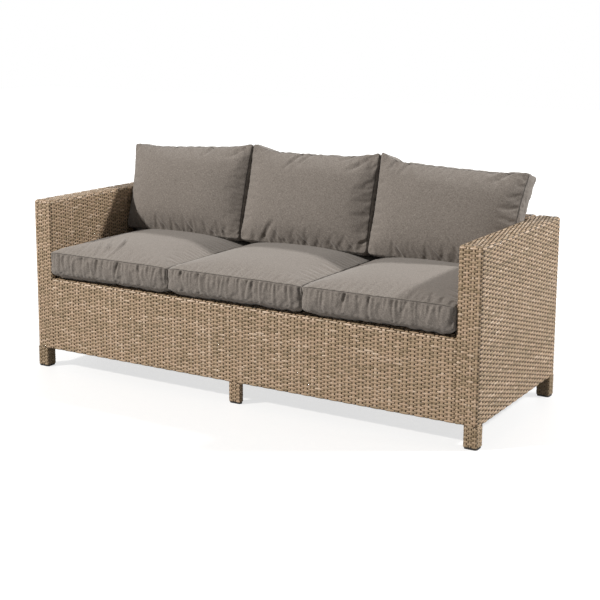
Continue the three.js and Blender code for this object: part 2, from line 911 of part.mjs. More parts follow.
// Where a back cushion's rear lower seam lies: on the seat cushion, with the crowned back
// resting on the rounded front edge of the back panel's top.
function backCushionPlace() {
  const lean = THREE.MathUtils.degToRad(backLeanDegrees);
  const edgeY = rearInside + panelEdgeRadius;
  const edgeZ = armHeight - panelEdgeRadius;
  const reach = backRearCrown + seatedGap + panelEdgeRadius;
  let y = rearInside - reach;
  let z = seatTopAt(y);
  for (let pass = 0; pass < 8; pass += 1) {
    z = seatTopAt(y) + seatedGap;
    y = edgeY - (reach + (edgeZ - z) * Math.sin(lean)) / Math.cos(lean);
  }
  return { y, z, lean };
}

function cushions() {
  const place = backCushionPlace();
  const slabs = { left: -cushionPitch, centre: 0, right: cushionPitch };
  for (const [side, x] of Object.entries(slabs)) {
    const seat = addPiece(sofa, `seat_cushion_${side}`, seatCushion(), fabricFinish);
    seat.position.set(x, seatCushionMiddle, seatCushionBottom);
    const leaning = new THREE.Group();
    leaning.position.set(x, place.y, place.z);
    leaning.rotation.x = Math.PI / 2 - place.lean;
    const back = addPiece(leaning, `back_cushion_${side}`, backCushion(), fabricFinish);
    back.position.y = backCushionHeight / 2;
    sofa.add(leaning);
  }
}

sofa.add(arm("left", -1), arm("right", 1), backPanel(), seatBase());
legs();
cushions();

export default sofa;
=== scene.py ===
import json
import math

import bpy
import numpy as np
from mathutils import Matrix, Vector


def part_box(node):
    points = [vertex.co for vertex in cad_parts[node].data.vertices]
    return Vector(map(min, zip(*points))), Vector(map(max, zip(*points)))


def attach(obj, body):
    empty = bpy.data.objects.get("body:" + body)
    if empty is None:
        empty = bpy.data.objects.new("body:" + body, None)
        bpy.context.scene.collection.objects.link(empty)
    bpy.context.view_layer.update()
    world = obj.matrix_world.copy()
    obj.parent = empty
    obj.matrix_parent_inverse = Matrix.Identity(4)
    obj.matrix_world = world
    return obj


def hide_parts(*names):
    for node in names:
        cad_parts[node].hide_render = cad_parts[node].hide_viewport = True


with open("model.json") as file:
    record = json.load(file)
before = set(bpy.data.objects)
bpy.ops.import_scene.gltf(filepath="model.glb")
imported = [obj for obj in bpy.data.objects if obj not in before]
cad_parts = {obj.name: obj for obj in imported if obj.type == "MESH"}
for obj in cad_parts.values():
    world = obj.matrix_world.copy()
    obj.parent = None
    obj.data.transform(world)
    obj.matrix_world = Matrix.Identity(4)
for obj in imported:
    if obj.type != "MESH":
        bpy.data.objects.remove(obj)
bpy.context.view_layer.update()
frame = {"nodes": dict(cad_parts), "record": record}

# Rattan garden sofa: woven panels of flat strand with round shoulders over hidden tubes, six
# woven legs, three seat cushions and three back cushions. Metres, in the frame of the packed
# part.

SIDES = ("left", "centre", "right")
QUARTER_TURN = math.pi / 2
box = {name: np.array([list(corner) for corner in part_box(name)]) for name in frame["nodes"]}

# ---------------------------------------------------------------- strand and weave sizes
# Weft: its rows' pitch and width, its thickness, how far it dives under a stake, how much a
# float arches and swells, and where in the wave the dive starts and ends.
ROW_PITCH = 0.007325
ROW_WIDTH = ROW_PITCH * 1.02
STRAND_THICK = 0.0018
STRAND_DIVE = 0.0020
FLOAT_ARCH = 0.0007
FLOAT_SWELL, DIVE_SHRINK = 0.20, -0.25
DIVE_START, DIVE_END = 0.684, 0.82
ROW_WAVER = 0.0002
WAVER_TURNS = (3, 9)
# Stakes: their width as a share of their pitch, their thickness, and how far they lie below
# the face where they show, where a float covers them and under the rows on top.
STAKE_SHARE = 0.44
ARM_STAKE_SHARE = 0.34
STAKE_THICK = 0.0012
STAKE_SHOWN = 0.0004
STAKE_DEEP = 0.0019
TOP_STAKE_DROP = 0.0016
# Sections as (across, height) in shares of the width and the thickness.
STRAND_SECTION = np.array([(-0.5, 0.42), (-0.27, 0.95), (0.27, 0.95), (0.5, 0.42)])
STAKE_SECTION = np.array([(-0.5, 0.10), (-0.34, 1.0), (0.34, 1.0), (0.5, 0.10)])
# Painted shade: how much of a point's depth below the face, and below its strand's crest,
# darkens its colour, and the extra painted shade in millimetres of the stakes on top of a
# panel and on its outer face.
WEFT_PAINTED_SHADES = (1.0, 0.55)
STAKE_PAINTED_SHADES = (0.5, 1.0)
TOP_STAKE_PAINTED_SHADE = 1.6
OUTER_STAKE_PAINTED_SHADE = 1.0
# Rounded edges, counts of stakes and rows, and the open rows on top of a panel, whose tone is
# lifted as painted light where the light falls on the top.
EDGE_RADIUS = 0.012
LEG_RADIUS = 0.006
LIP = 0.004
SAMPLE_PLACES = np.array([-0.38, -0.28, 0.28, 0.38])
ARM_FRONT_STAKES = 4
ARM_SIDE_STAKES = 27
LONG_STAKES = 63
PANEL_END_STAKES = 4
EDGE_ROWS = 2
TOP_ROWS = 10
TOP_ROW_SHARE = 0.65
TOP_ROW_PAINTED_LIGHT = 0.6
ROWS_PER_PIECE = 42
# Tone along the strands: waves to the metre, how much each row stretches them, how much the
# rows differ, and how strongly the sum is squeezed. ROW_FAN turns a strand's two edges into
# different places of the streaks.
TONE_WAVES = (2.3, 5.1, 9.7, 17.3, 26.9)
TONE_STRETCH = (0.8, 1.25)
TONE_ROW_SPREAD = 0.9
TONE_SQUEEZE = 3.4
ROW_FAN = 0.4


# ---------------------------------------------------------------- mesh helpers
def mesh_object(name, points, quads, layers=None):
    """A smooth-shaded object from an array of points and an array of four-cornered faces,
    with any named per-point values in layers."""
    mesh = bpy.data.meshes.new(name)
    mesh.vertices.add(len(points))
    mesh.vertices.foreach_set("co", np.ascontiguousarray(points, np.float32).ravel())
    mesh.loops.add(quads.size)
    mesh.loops.foreach_set("vertex_index", np.ascontiguousarray(quads, np.int32).ravel())
    mesh.polygons.add(len(quads))
    mesh.polygons.foreach_set("loop_start", np.arange(0, quads.size, 4, dtype=np.int32))
    mesh.update(calc_edges=True)
    mesh.shade_smooth()
    for layer, values in (layers or {}).items():
        kind = "FLOAT" if values.ndim == 1 else "FLOAT_VECTOR"
        field = "value" if values.ndim == 1 else "vector"
        attribute = mesh.attributes.new(layer, kind, "POINT")
        attribute.data.foreach_set(field, np.ascontiguousarray(values, np.float32).ravel())
    made = bpy.data.objects.new(name, mesh)
    bpy.context.scene.collection.objects.link(made)
    return made


def strand_tone(random, rows, along):
    """Value from 0 to 1 that drifts along each row: a sum of sines of several wavelengths
    with a random phase for each row, squeezed to the range."""
    total = np.zeros((rows, len(along)))
    for waves in TONE_WAVES:
        phase = random.uniform(0, 2 * math.pi, (rows, 1))
        stretch = random.uniform(*TONE_STRETCH, (rows, 1))
        total += np.sin(2 * math.pi * waves * stretch * along[None, :] + phase)
    total += random.normal(0, TONE_ROW_SPREAD, (rows, 1))
    return 0.5 + 0.5 * np.tanh(total / TONE_SQUEEZE)


class Weave:
    """Gathers the strands and stakes of one woven piece, whose tone is lowered by a share of
    painted shade, or lifted as painted light where the share is negative.
    """

    def __init__(self, name, seed, painted_shading=0.0):
        self.name = name
        self.painted_shading = painted_shading
        self.random = np.random.default_rng(seed)
        self.points, self.quads, self.strand, self.depth = [], [], [], []
        self.count = 0
        self.rows = 0

    def add(self, centre, outward, across, offset, width, thick, section, closed, along,
            shades, extra=0.0):
        """Strands as sections carried along rows of samples. A corner of the section at (a, h)
        is centre + across * a * width + outward * (offset - thick + h * thick). Its depth
        value is how far the strand lies below the face and how far the corner lies below the
        strand's crest, each times its own one of the shades, plus any extra, in millimetres;
        the material paints shade by it, in the recesses and at the strands' edges."""
        rows, samples = offset.shape
        corners = len(section)
        # Painted shade lowers the tone by the piece's share; a negative share lifts it as
        # painted light.
        tone = strand_tone(self.random, rows, along) * (1 - self.painted_shading)
        wide = np.broadcast_to(width, offset.shape)[..., None] * section[:, 0]
        sideways = across[:, :, None, :] * wide[..., None]
        drop = (1 - section[:, 1])[None, None, :] * thick
        height = offset[:, :, None] - drop
        points = centre[:, :, None, :] + sideways + outward[:, :, None, :] * height[..., None]
        number = np.arange(points[..., 0].size).reshape(rows, samples, corners) + self.count
        turned = np.roll(number, -1, axis=2)
        sides = np.stack([number, np.roll(number, -1, axis=1),
                          np.roll(turned, -1, axis=1), turned], axis=-1)
        self.quads.append((sides if closed else sides[:, :-1]).reshape(-1, 4))
        if not closed:
            self.quads.append(number[:, 0])
            self.quads.append(number[:, -1, ::-1])
        self.points.append(points.reshape(-1, 3))
        run = np.broadcast_to(along[None, :, None], number.shape)
        row = self.rows + np.arange(rows)[:, None, None] + ROW_FAN * section[None, None, :, 0]
        layers = [run, np.broadcast_to(row, number.shape),
                  np.broadcast_to(tone[:, :, None], number.shape)]
        self.strand.append(np.stack(layers, axis=-1).reshape(-1, 3))
        # Depth value for the painted shade in the material.
        below = (shades[1] * drop - shades[0] * offset[:, :, None]) * 1000
        below = below + np.broadcast_to(extra, offset.shape)[:, :, None]
        self.depth.append(below.reshape(-1))
        self.count += number.size
        self.rows += rows

    def weft(self, centre, outward, across, phase, along, width, closed=False, ends=None):
        """Rows of strand that pass over and under the stakes. With s = (1 - cos(phase)) / 2
        the strand lies dive * clip((s - start) / (end - start), 0, 1) + arch * s below the
        face: long floats and short dives, with a slow waver of its own on each row. Its
        width grows by swell * cos(phase) on the floats and shrinks a little in the dives."""
        rows = len(phase)
        under = (1 - np.cos(phase)) / 2
        share = np.clip((under - DIVE_START) / (DIVE_END - DIVE_START), 0, 1)
        offset = -STRAND_DIVE * share - FLOAT_ARCH * under
        waver = self.random.uniform(0, 2 * math.pi, (rows, 1))
        turns = self.random.integers(*WAVER_TURNS, (rows, 1))
        run = along / (along[-1] + 1e-9)
        offset = offset - ROW_WAVER * (1 + np.sin(2 * math.pi * turns * run[None, :] + waver))
        if ends is not None:
            offset = offset + ends
        swell = width * (1 + FLOAT_SWELL * np.maximum(np.cos(phase), DIVE_SHRINK))
        self.add(centre, outward, across, offset, swell, STRAND_THICK, STRAND_SECTION,
                 closed, along, WEFT_PAINTED_SHADES)

    def stakes(self, centre, outward, travel, order, row, width, drop=0.0, shade=0.0):
        """Flat stakes along the given paths. With shown = (1 - cos(pi * (order + row))) / 2 a
        stake stands out where the weft passes behind it and lies deeper under a float. It lies
        lower by drop, and shade is the extra painted shade in millimetres."""
        across = np.cross(outward, travel)
        step = np.linalg.norm(np.diff(centre[0], axis=0), axis=1)
        along = np.concatenate([[0], np.cumsum(step)])
        shown = (1 - np.cos(math.pi * (np.asarray(order)[:, None] + row[None]))) / 2
        offset = -STAKE_DEEP + (STAKE_DEEP - STAKE_SHOWN) * shown - drop
        self.add(centre, outward, across, offset, width, STAKE_THICK, STAKE_SECTION,
                 False, along, STAKE_PAINTED_SHADES, shade)

    def finish(self, node):
        """The gathered strands as one object that stands for the node and rides on the
        frame."""
        made = mesh_object(self.name, np.concatenate(self.points), np.concatenate(self.quads),
                           {"strand": np.concatenate(self.strand),
                            "depth": np.concatenate(self.depth)})
        made.data.materials.append(materials["weave"])
        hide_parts(node)
        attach(made, "frame")


# ---------------------------------------------------------------- paths
def stake_samples(count):
    """Places along a row, as shares of it: four round each stake, close to its edges."""
    places = np.arange(count)[:, None] + 0.5 + SAMPLE_PLACES[None]
    return places.ravel() / count


def ring(low, high, radius, stakes_x, stakes_y):
    """Closed path in plan round a rectangle with round corners. Each side runs from the
    middle of one corner's arc to the middle of the next, and its stakes stand at odd
    halves of its pitch. Gives, for every sample: the point of the rectangle's core, the
    outward direction, the phase (half a turn a stake) and the length run so far."""
    corners = [(low[0], low[1]), (high[0], low[1]), (high[0], high[1]), (low[0], high[1])]
    travels = [(1, 0), (0, 1), (-1, 0), (0, -1)]
    core, outward, phase, along = [], [], [], []
    run, stake = 0.0, 0
    arc = radius * math.pi / 4
    for side, (travel, corner) in enumerate(zip(travels, corners)):
        travel = np.array(travel, float)
        normal = np.array([travel[1], -travel[0]])
        straight = (high - low)[side % 2] - 2 * radius
        length = straight + 2 * arc
        count = stakes_x if side % 2 == 0 else stakes_y
        regular = stake_samples(count) * length
        bends = np.array([0, arc / 2, arc, length - arc, length - arc / 2])
        apart = np.abs(regular[:, None] - bends[None, :]).min(axis=1) > arc / 4
        place = np.sort(np.concatenate([regular[apart], bends]))
        turn = (-math.pi / 4 + np.minimum(place, arc) / radius
                + np.maximum(place - (length - arc), 0) / radius)
        start = np.array(corner) + radius * (travel - normal)
        core.append(start + np.clip(place - arc, 0, straight)[:, None] * travel)
        outward.append(np.cos(turn)[:, None] * normal + np.sin(turn)[:, None] * travel)
        phase.append(math.pi * (place * count / length - 0.5 + stake))
        along.append(run + place)
        run += length
        stake += count
    return [np.concatenate(part) for part in (core, outward, phase, along)]


def side_stakes(low, high, radius, stakes, side):
    """Stakes of one side of a ring, from low to high: their places, which stand at odd
    halves of the pitch counted from the middle of the corner's arc, their numbers round
    the ring, and their width. Sides 0 to 3 face -y, +x, +y and -x."""
    count, axis = stakes[side % 2], side % 2
    arc = radius * math.pi / 4
    length = (high - low)[axis] - 2 * radius + 2 * arc
    run = (np.arange(count) + 0.5) * length / count
    places = low[axis] + radius + np.clip(run - arc, 0, (high - low)[axis] - 2 * radius)
    number = np.arange(count)
    before = (0, stakes[0], stakes[0] + stakes[1], 2 * stakes[0] + stakes[1])[side]
    order = before + (number if side < 2 else count - 1 - number)
    return places, order, STAKE_SHARE * length / count


def panel_rows(bottom, top, radius):
    """Heights, insets and tilts of a panel's rows: upright rows at the pitch, then rows
    spread over the rounded top edge."""
    count = int(round((top - radius - bottom) / ROW_PITCH))
    heights = bottom + (np.arange(count) + 0.5) * (top - radius - bottom) / count
    tilt = (np.arange(EDGE_ROWS) + 0.5) / EDGE_ROWS * QUARTER_TURN
    edge = top - radius + radius * np.sin(tilt)
    inset = radius * (1 - np.cos(tilt))
    zeros = np.zeros(count)
    return (np.concatenate([heights, edge]), np.concatenate([zeros, inset]),
            np.concatenate([zeros, tilt]))


def flat3(plan, height):
    """Plan points, rows by samples, with their heights."""
    return np.concatenate([plan, height[..., None]], axis=-1)


def weave_ring(weave, low, high, radius, stakes, rows, chosen):
    """The chosen rows of weft round a ring. A row's centre is core + outward * (radius -
    inset), and its outward direction tilts up over the rounded edge."""
    heights, insets, tilts = (part[chosen] for part in rows)
    core, outward, phase, along = ring(low[:2], high[:2], radius, *stakes)
    count, samples = len(heights), len(core)
    reach = (radius - insets)[:, None, None]
    plan = core[None] + outward[None] * reach
    tall = np.broadcast_to(heights[:, None], (count, samples))
    centre = flat3(plan, tall)
    lean = np.broadcast_to(tilts[:, None], (count, samples))
    out3 = flat3(outward[None] * np.cos(lean)[..., None], np.sin(lean))
    across = flat3(-outward[None] * np.sin(lean)[..., None], np.cos(lean))
    order = chosen[:, None] * math.pi
    weave.weft(centre, out3, across, phase[None] + order, along, ROW_WIDTH, closed=True)


def placed(axis, places, face_sign, path, out, go):
    """Carries a profile in the plane across the given axis to each of the places. The
    profile's first measure is a world measure where face_sign is 1, and runs the other way,
    as from a far face inwards, where it is -1."""
    other = 1 - axis
    shape = (len(places), len(path), 3)
    centre, outward, travel = np.zeros(shape), np.zeros(shape), np.zeros(shape)
    centre[..., axis] = np.asarray(places)[:, None]
    for target, source in ((centre, path), (outward, out), (travel, go)):
        target[..., other] = source[None, :, 0] * face_sign
        target[..., 2] = source[None, :, 1]
    return centre, outward, travel


def face_profile(rows, bottom):
    """One face from its bottom up over the rounded edge, at the weft's rows: (inwards,
    height) of each point, with its outward and travel directions. Outwards is negative."""
    heights, insets, tilts = rows
    path = np.stack([np.append(0.0, insets), np.append(bottom, heights)], -1)
    tilt = np.append(0.0, tilts)
    out = np.stack([-np.cos(tilt), np.sin(tilt)], -1)
    return path, out, np.stack([np.sin(tilt), np.cos(tilt)], -1)


def arch_profile(rows, bottom, top, low, high, radius):
    """Up one face of a panel, over its flat top and down the other face, with the share of
    the path that lies under the open rows on top."""
    near, near_out, near_go = face_profile(rows, bottom)
    near = near + np.array([low, 0.0])
    flip = np.array([-1.0, 1.0])
    far = near[::-1] * flip + np.array([low + high, 0.0])
    width = (high - low - 2 * radius) / TOP_ROWS
    across = low + radius + (np.arange(TOP_ROWS) + 0.5) * width
    middle = np.stack([across, np.full(TOP_ROWS, top)], -1)
    path = np.concatenate([near, middle, far])
    out = np.concatenate([near_out, np.tile([0.0, 1.0], (TOP_ROWS, 1)), near_out[::-1] * flip])
    go = np.concatenate([near_go, np.tile([1.0, 0.0], (TOP_ROWS, 1)), near_go[::-1] * -flip])
    under = np.zeros(len(path))
    under[len(near):len(near) + TOP_ROWS] = 1.0
    return path, out, go, under


def lip_profile(rows, bottom, top, radius, lip):
    """Up one face, over its rounded top edge and a short way in."""
    path, out, go = face_profile(rows, bottom)
    inner = np.array([(radius, top), (radius + lip, top)])
    return (np.concatenate([path, inner]), np.concatenate([out, [(0.0, 1.0)] * 2]),
            np.concatenate([go, [(1.0, 0.0)] * 2]))


def top_field(weave, axis, low, high, top, radius, count, stakes, order):
    """Rows of weft on the flat top of a panel, along the given axis, whose ends dive under
    the edge rows. The phase follows the stakes that arch over the top."""
    other = 1 - axis
    arc = radius * math.pi / 4
    start, end = low[axis] + radius, high[axis] - radius
    length = end - start + 2 * arc
    place = stake_samples(stakes) * length - arc
    along = np.concatenate([[0], place[(place > 0) & (place < end - start)], [end - start]])
    samples = len(along)
    phase = math.pi * ((along + arc) * stakes / length - 0.5)
    width = (high[other] - low[other] - 2 * radius) / count
    if axis == 0:
        rows = low[other] + radius + (np.arange(count) + 0.5) * width
    else:
        rows = high[other] - radius - (np.arange(count) + 0.5) * width
    shape = (count, samples, 3)
    centre, outward, across = np.zeros(shape), np.zeros(shape), np.zeros(shape)
    centre[..., axis] = (start + along)[None]
    centre[..., other] = rows[:, None]
    centre[..., 2] = top
    outward[..., 2] = 1
    across[..., other] = 1 if axis == 0 else -1
    edge = np.minimum(along, along[-1] - along)
    dive = -STRAND_DIVE * np.clip(1 - edge / (2 * arc), 0, 1) ** 2
    turn = (order + np.arange(count))[:, None] * math.pi
    weave.weft(centre, outward, across, phase[None] + turn, along, width * TOP_ROW_SHARE,
               ends=dive[None])


def woven_panel(name, node, seed, radius, stakes, long_axis, share=STAKE_SHARE, outer=None):
    """A whole panel in a few pieces: rings of weft up to the rounded top edge, then a field of
    rows on the flat top, their tone lifted as painted light, with the stakes that arch over
    it, in painted shade under those rows. The outer face, low or high, has its stakes in
    painted shade."""
    low, high = box[node]
    rows = panel_rows(low[2], high[2], radius)
    total = len(rows[0])
    pieces = -(-total // ROWS_PER_PIECE)
    for piece, chosen in enumerate(np.array_split(np.arange(total), pieces)):
        weave = Weave(f"{name}_weft_{piece + 1}", seed + piece)
        weave_ring(weave, low, high, radius, stakes, rows, chosen)
        weave.finish(node)
    weave = Weave(f"{name}_stakes", seed + pieces)
    order = total + (stakes[0] if long_axis == 1 else 0)
    # Painted light: the rows on top get a lifted tone, then the rest goes back to plain.
    weave.painted_shading = -TOP_ROW_PAINTED_LIGHT
    top_field(weave, long_axis, low, high, high[2], radius, TOP_ROWS, stakes[long_axis], order)
    weave.painted_shading = 0.0
    short_axis = 1 - long_axis
    side = 0 if long_axis == 0 else 3
    places, numbers, width = side_stakes(low, high, radius, stakes, side)
    path, out, go, under = arch_profile(rows, low[2], high[2], low[short_axis],
                                        high[short_axis], radius)
    # Painted shade on the stakes under the top rows and on the outer face.
    shade = TOP_STAKE_PAINTED_SHADE * under
    if outer == "low":
        shade[:total + 1] = OUTER_STAKE_PAINTED_SHADE
    elif outer == "high":
        shade[-total - 1:] = OUTER_STAKE_PAINTED_SHADE
    weave.stakes(*placed(long_axis, places, 1, path, out, go), numbers,
                 np.arange(len(path)) - 1, width * share / STAKE_SHARE,
                 TOP_STAKE_DROP * under[None], shade[None])
    for side in (1, 3) if long_axis == 0 else (0, 2):
        face, sign = (low, 1) if side in (0, 3) else (high, -1)
        places, numbers, width = side_stakes(low, high, radius, stakes, side)
        path, out, go = lip_profile(rows, low[2], high[2], radius, LIP)
        centre, outward, travel = placed(short_axis, places, sign, path, out, go)
        centre[..., long_axis] += face[long_axis]
        weave.stakes(centre, outward, travel, numbers, np.arange(len(path)) - 1.0, width)
    weave.finish(node)


# ---------------------------------------------------------------- materials
def new_material(name):
    """A material with its nodes, its links and its shader."""
    material = bpy.data.materials.new(name)
    material.use_nodes = True
    nodes = material.node_tree.nodes
    return material, nodes, material.node_tree.links, nodes["Principled BSDF"]


def new_group(name, inputs, outputs):
    """Empty shader node group with the given named inputs and outputs."""
    group = bpy.data.node_groups.new(name, "ShaderNodeTree")
    for side, sockets in (("INPUT", inputs), ("OUTPUT", outputs)):
        for label, kind in sockets.items():
            group.interface.new_socket(label, in_out=side, socket_type=f"NodeSocket{kind}")
    return group, group.nodes.new("NodeGroupInput"), group.nodes.new("NodeGroupOutput")


def place_group(nodes, group, **values):
    """The group as a node of a material, with the given values on its inputs."""
    made = nodes.new("ShaderNodeGroup")
    made.node_tree = group
    for label, value in values.items():
        made.inputs[label].default_value = value
    return made


def ramp(nodes, stops):
    """Colour ramp with the given (place, colour) stops."""
    made = nodes.new("ShaderNodeValToRGB")
    elements = made.color_ramp.elements
    while len(elements) < len(stops):
        elements.new(0.5)
    for element, (place, colour) in zip(elements, stops):
        element.position = place
        element.color = (*colour, 1)
    return made


def math_node(nodes, links, kind, first, second, clamp=False):
    """Result of a sum on two sockets, or on a socket and a number."""
    made = nodes.new("ShaderNodeMath")
    made.operation = kind
    made.use_clamp = clamp
    for socket, value in zip(made.inputs, (first, second)):
        if isinstance(value, (int, float)):
            socket.default_value = value
        else:
            links.new(value, socket)
    return made.outputs[0]


def blend(nodes, links, share, first, second):
    """Colour between two colour sockets by the share."""
    mixed = nodes.new("ShaderNodeMix")
    mixed.data_type = "RGBA"
    links.new(share, mixed.inputs["Factor"])
    links.new(first, mixed.inputs[6])
    links.new(second, mixed.inputs[7])
    return mixed.outputs[2]


def add_bump(nodes, links, shader, height, strength, distance):
    """Fine relief on a shader from a height socket."""
    bump = nodes.new("ShaderNodeBump")
    bump.inputs["Strength"].default_value = strength
    bump.inputs["Distance"].default_value = distance
    links.new(height, bump.inputs["Height"])
    links.new(bump.outputs["Normal"], shader.inputs["Normal"])


def attribute_node(nodes, name):
    """The piece's own attribute of that name."""
    made = nodes.new("ShaderNodeAttribute")
    made.attribute_name = name
    return made.outputs


def mottle_group():
    """Soft blotches: a noise of the given scale picks a colour between dark and light."""
    group, given, result = new_group(
        "mottle", {"Vector": "Vector", "Scale": "Float", "Dark": "Color", "Light": "Color"},
        {"Color": "Color", "Height": "Float"})
    nodes, links = group.nodes, group.links
    noise = nodes.new("ShaderNodeTexNoise")
    noise.inputs["Detail"].default_value = 4.0
    links.new(given.outputs["Vector"], noise.inputs["Vector"])
    links.new(given.outputs["Scale"], noise.inputs["Scale"])
    spread = nodes.new("ShaderNodeMapRange")
    spread.inputs["From Min"].default_value = 0.3
    spread.inputs["From Max"].default_value = 0.7
    links.new(noise.outputs["Fac"], spread.inputs["Value"])
    mixed = blend(nodes, links, spread.outputs[0], given.outputs["Dark"],
                  given.outputs["Light"])
    links.new(mixed, result.inputs["Color"])
    links.new(noise.outputs["Fac"], result.inputs["Height"])
    return group


def recess_group():
    """Darkening towards a dark colour, used for painted shade in a weave's recesses and for
    the dark line of a seam: the colour turns to the dark one as the value runs from Start to
    End, up to the given amount. Start may be the larger."""
    group, given, result = new_group(
        "recess", {"Color": "Color", "Value": "Float", "Start": "Float", "End": "Float",
                   "Amount": "Float", "Dark": "Color"}, {"Color": "Color"})
    nodes, links = group.nodes, group.links
    share = nodes.new("ShaderNodeMapRange")
    share.interpolation_type = "SMOOTHSTEP"
    for source, target in (("Value", "Value"), ("Start", "From Min"), ("End", "From Max"),
                           ("Amount", "To Max")):
        links.new(given.outputs[source], share.inputs[target])
    mixed = blend(nodes, links, share.outputs[0], given.outputs["Color"],
                  given.outputs["Dark"])
    links.new(mixed, result.inputs["Color"])
    return group


MOTTLE, RECESS = mottle_group(), recess_group()
# Stretches of the noises: streaks along a strand and across its rows, and the two sets of
# crossing threads of the cloth. STREAK_SHARE is how much the streaks change the tone.
STREAK_STRETCH = (14.0, 9.0, 0.0)
STREAK_SHARE = 0.45
THREAD_STRETCHES = ((150.0, 560.0, 340.0), (560.0, 260.0, 150.0))


def stretched_noise(nodes, links, vector, stretch, detail):
    """Noise whose grain is drawn out: fine across and long along."""
    scaled = nodes.new("ShaderNodeVectorMath")
    scaled.operation = "MULTIPLY"
    scaled.inputs[1].default_value = stretch
    links.new(vector, scaled.inputs[0])
    noise = nodes.new("ShaderNodeTexNoise")
    noise.inputs["Scale"].default_value = 1.0
    noise.inputs["Detail"].default_value = detail
    links.new(scaled.outputs[0], noise.inputs["Vector"])
    return noise.outputs["Fac"]


def weave_material():
    """Flat plastic strand: a tone that drifts along each strand, fine lengthwise streaks, and
    painted shade, brown to near black, in the depths of the weave, at the strands' edges and
    on the shaded stakes."""
    material, nodes, links, shader = new_material("woven_strand")
    strand = attribute_node(nodes, "strand")
    parts = nodes.new("ShaderNodeSeparateXYZ")
    links.new(strand["Vector"], parts.inputs[0])
    tone = ramp(nodes, [
        (0.0, (0.190, 0.132, 0.070)),
        (0.25, (0.312, 0.228, 0.142)),
        (0.5, (0.370, 0.263, 0.167)),
        (0.75, (0.408, 0.287, 0.192)),
        # The palest stop is where the painted light of the top rows mostly lands.
        (1.0, (0.590, 0.470, 0.350)),
    ])
    streak = stretched_noise(nodes, links, strand["Vector"], STREAK_STRETCH, 3.0)
    shifted = math_node(nodes, links, "SUBTRACT", streak, 0.5)
    scaled = math_node(nodes, links, "MULTIPLY", shifted, STREAK_SHARE)
    mixed = math_node(nodes, links, "ADD", parts.outputs["Z"], scaled, clamp=True)
    links.new(mixed, tone.inputs["Fac"])
    # Painted shade: the colour turns brown to near black as the depth value grows.
    deep = place_group(nodes, RECESS, Start=0.60, End=1.7, Amount=1.0,
                       Dark=(0.095, 0.060, 0.031, 1))
    links.new(attribute_node(nodes, "depth")["Fac"], deep.inputs["Value"])
    links.new(tone.outputs["Color"], deep.inputs["Color"])
    links.new(deep.outputs["Color"], shader.inputs["Base Color"])
    shader.inputs["Roughness"].default_value = 0.45
    shader.inputs["Specular IOR Level"].default_value = 0.5
    add_bump(nodes, links, shader, streak, 0.15, 0.0003)
    return material


def fabric_material():
    """Grey-taupe melange cloth: light and dark threads crossing, a soft nap, and a dark
    line along the sewn seams."""
    material, nodes, links, shader = new_material("melange_fabric")
    place = nodes.new("ShaderNodeTexCoord")
    speckle = [stretched_noise(nodes, links, place.outputs["Object"], stretch, 1.5)
               for stretch in THREAD_STRETCHES]
    crossed = math_node(nodes, links, "ADD", *speckle)
    even = math_node(nodes, links, "MULTIPLY", crossed, 0.5)
    tone = ramp(nodes, [(0.32, (0.118, 0.104, 0.092)), (0.5, (0.176, 0.156, 0.139)),
                        (0.68, (0.248, 0.222, 0.200))])
    links.new(even, tone.inputs["Fac"])
    sewn = place_group(nodes, RECESS, Start=0.0024, End=0.0009, Amount=0.75,
                       Dark=(0.022, 0.019, 0.017, 1))
    links.new(attribute_node(nodes, "line")["Fac"], sewn.inputs["Value"])
    links.new(tone.outputs["Color"], sewn.inputs["Color"])
    links.new(sewn.outputs["Color"], shader.inputs["Base Color"])
    shader.inputs["Roughness"].default_value = 0.9
    shader.inputs["Specular IOR Level"].default_value = 0.25
    shader.inputs["Sheen Weight"].default_value = 0.2
    shader.inputs["Sheen Roughness"].default_value = 0.5
    add_bump(nodes, links, shader, even, 0.2, 0.0008)
    return material


def plain_material(name, dark, light, roughness, metallic, scale):
    """Coated metal or moulded plastic: a faint mottle between two close tones."""
    material, nodes, links, shader = new_material(name)
    place = nodes.new("ShaderNodeTexCoord")
    mottle = place_group(nodes, MOTTLE, Scale=scale, Dark=(*dark, 1), Light=(*light, 1))
    links.new(place.outputs["Object"], mottle.inputs["Vector"])
    links.new(mottle.outputs["Color"], shader.inputs["Base Color"])
    shader.inputs["Metallic"].default_value = metallic
    shader.inputs["Roughness"].default_value = roughness
    add_bump(nodes, links, shader, mottle.outputs["Height"], 0.1, 0.0005)
    return material


materials = {
    "weave": weave_material(),
    "fabric": fabric_material(),
    "tube": plain_material("coated_tube", (0.20, 0.18, 0.15), (0.26, 0.235, 0.20),
                           0.5, 0.3, 90.0),
    "glide": plain_material("moulded_glide", (0.012, 0.011, 0.010), (0.024, 0.021, 0.019),
                            0.55, 0.0, 140.0),
    "bolt": plain_material("plated_bolt", (0.42, 0.42, 0.41), (0.55, 0.55, 0.54),
                           0.32, 1.0, 220.0),
}


# ---------------------------------------------------------------- woven pieces
# Apron: how far its rows run past the arms' inner edges, from which share of that they dive,
# how short of the deck's rear edge its warp ends, and how deep in the weave the warp lies
# there. Deck: the pitch of its weft, its front margin and both margins together.
APRON_TUCK = 0.0095
APRON_DIVE_SHARE = 0.75
WARP_SHORT = 0.001
WARP_ROW = 0.5
DECK_WEFT_PITCH = 0.0215
DECK_FRONT_MARGIN, DECK_MARGINS = 0.018, 0.026


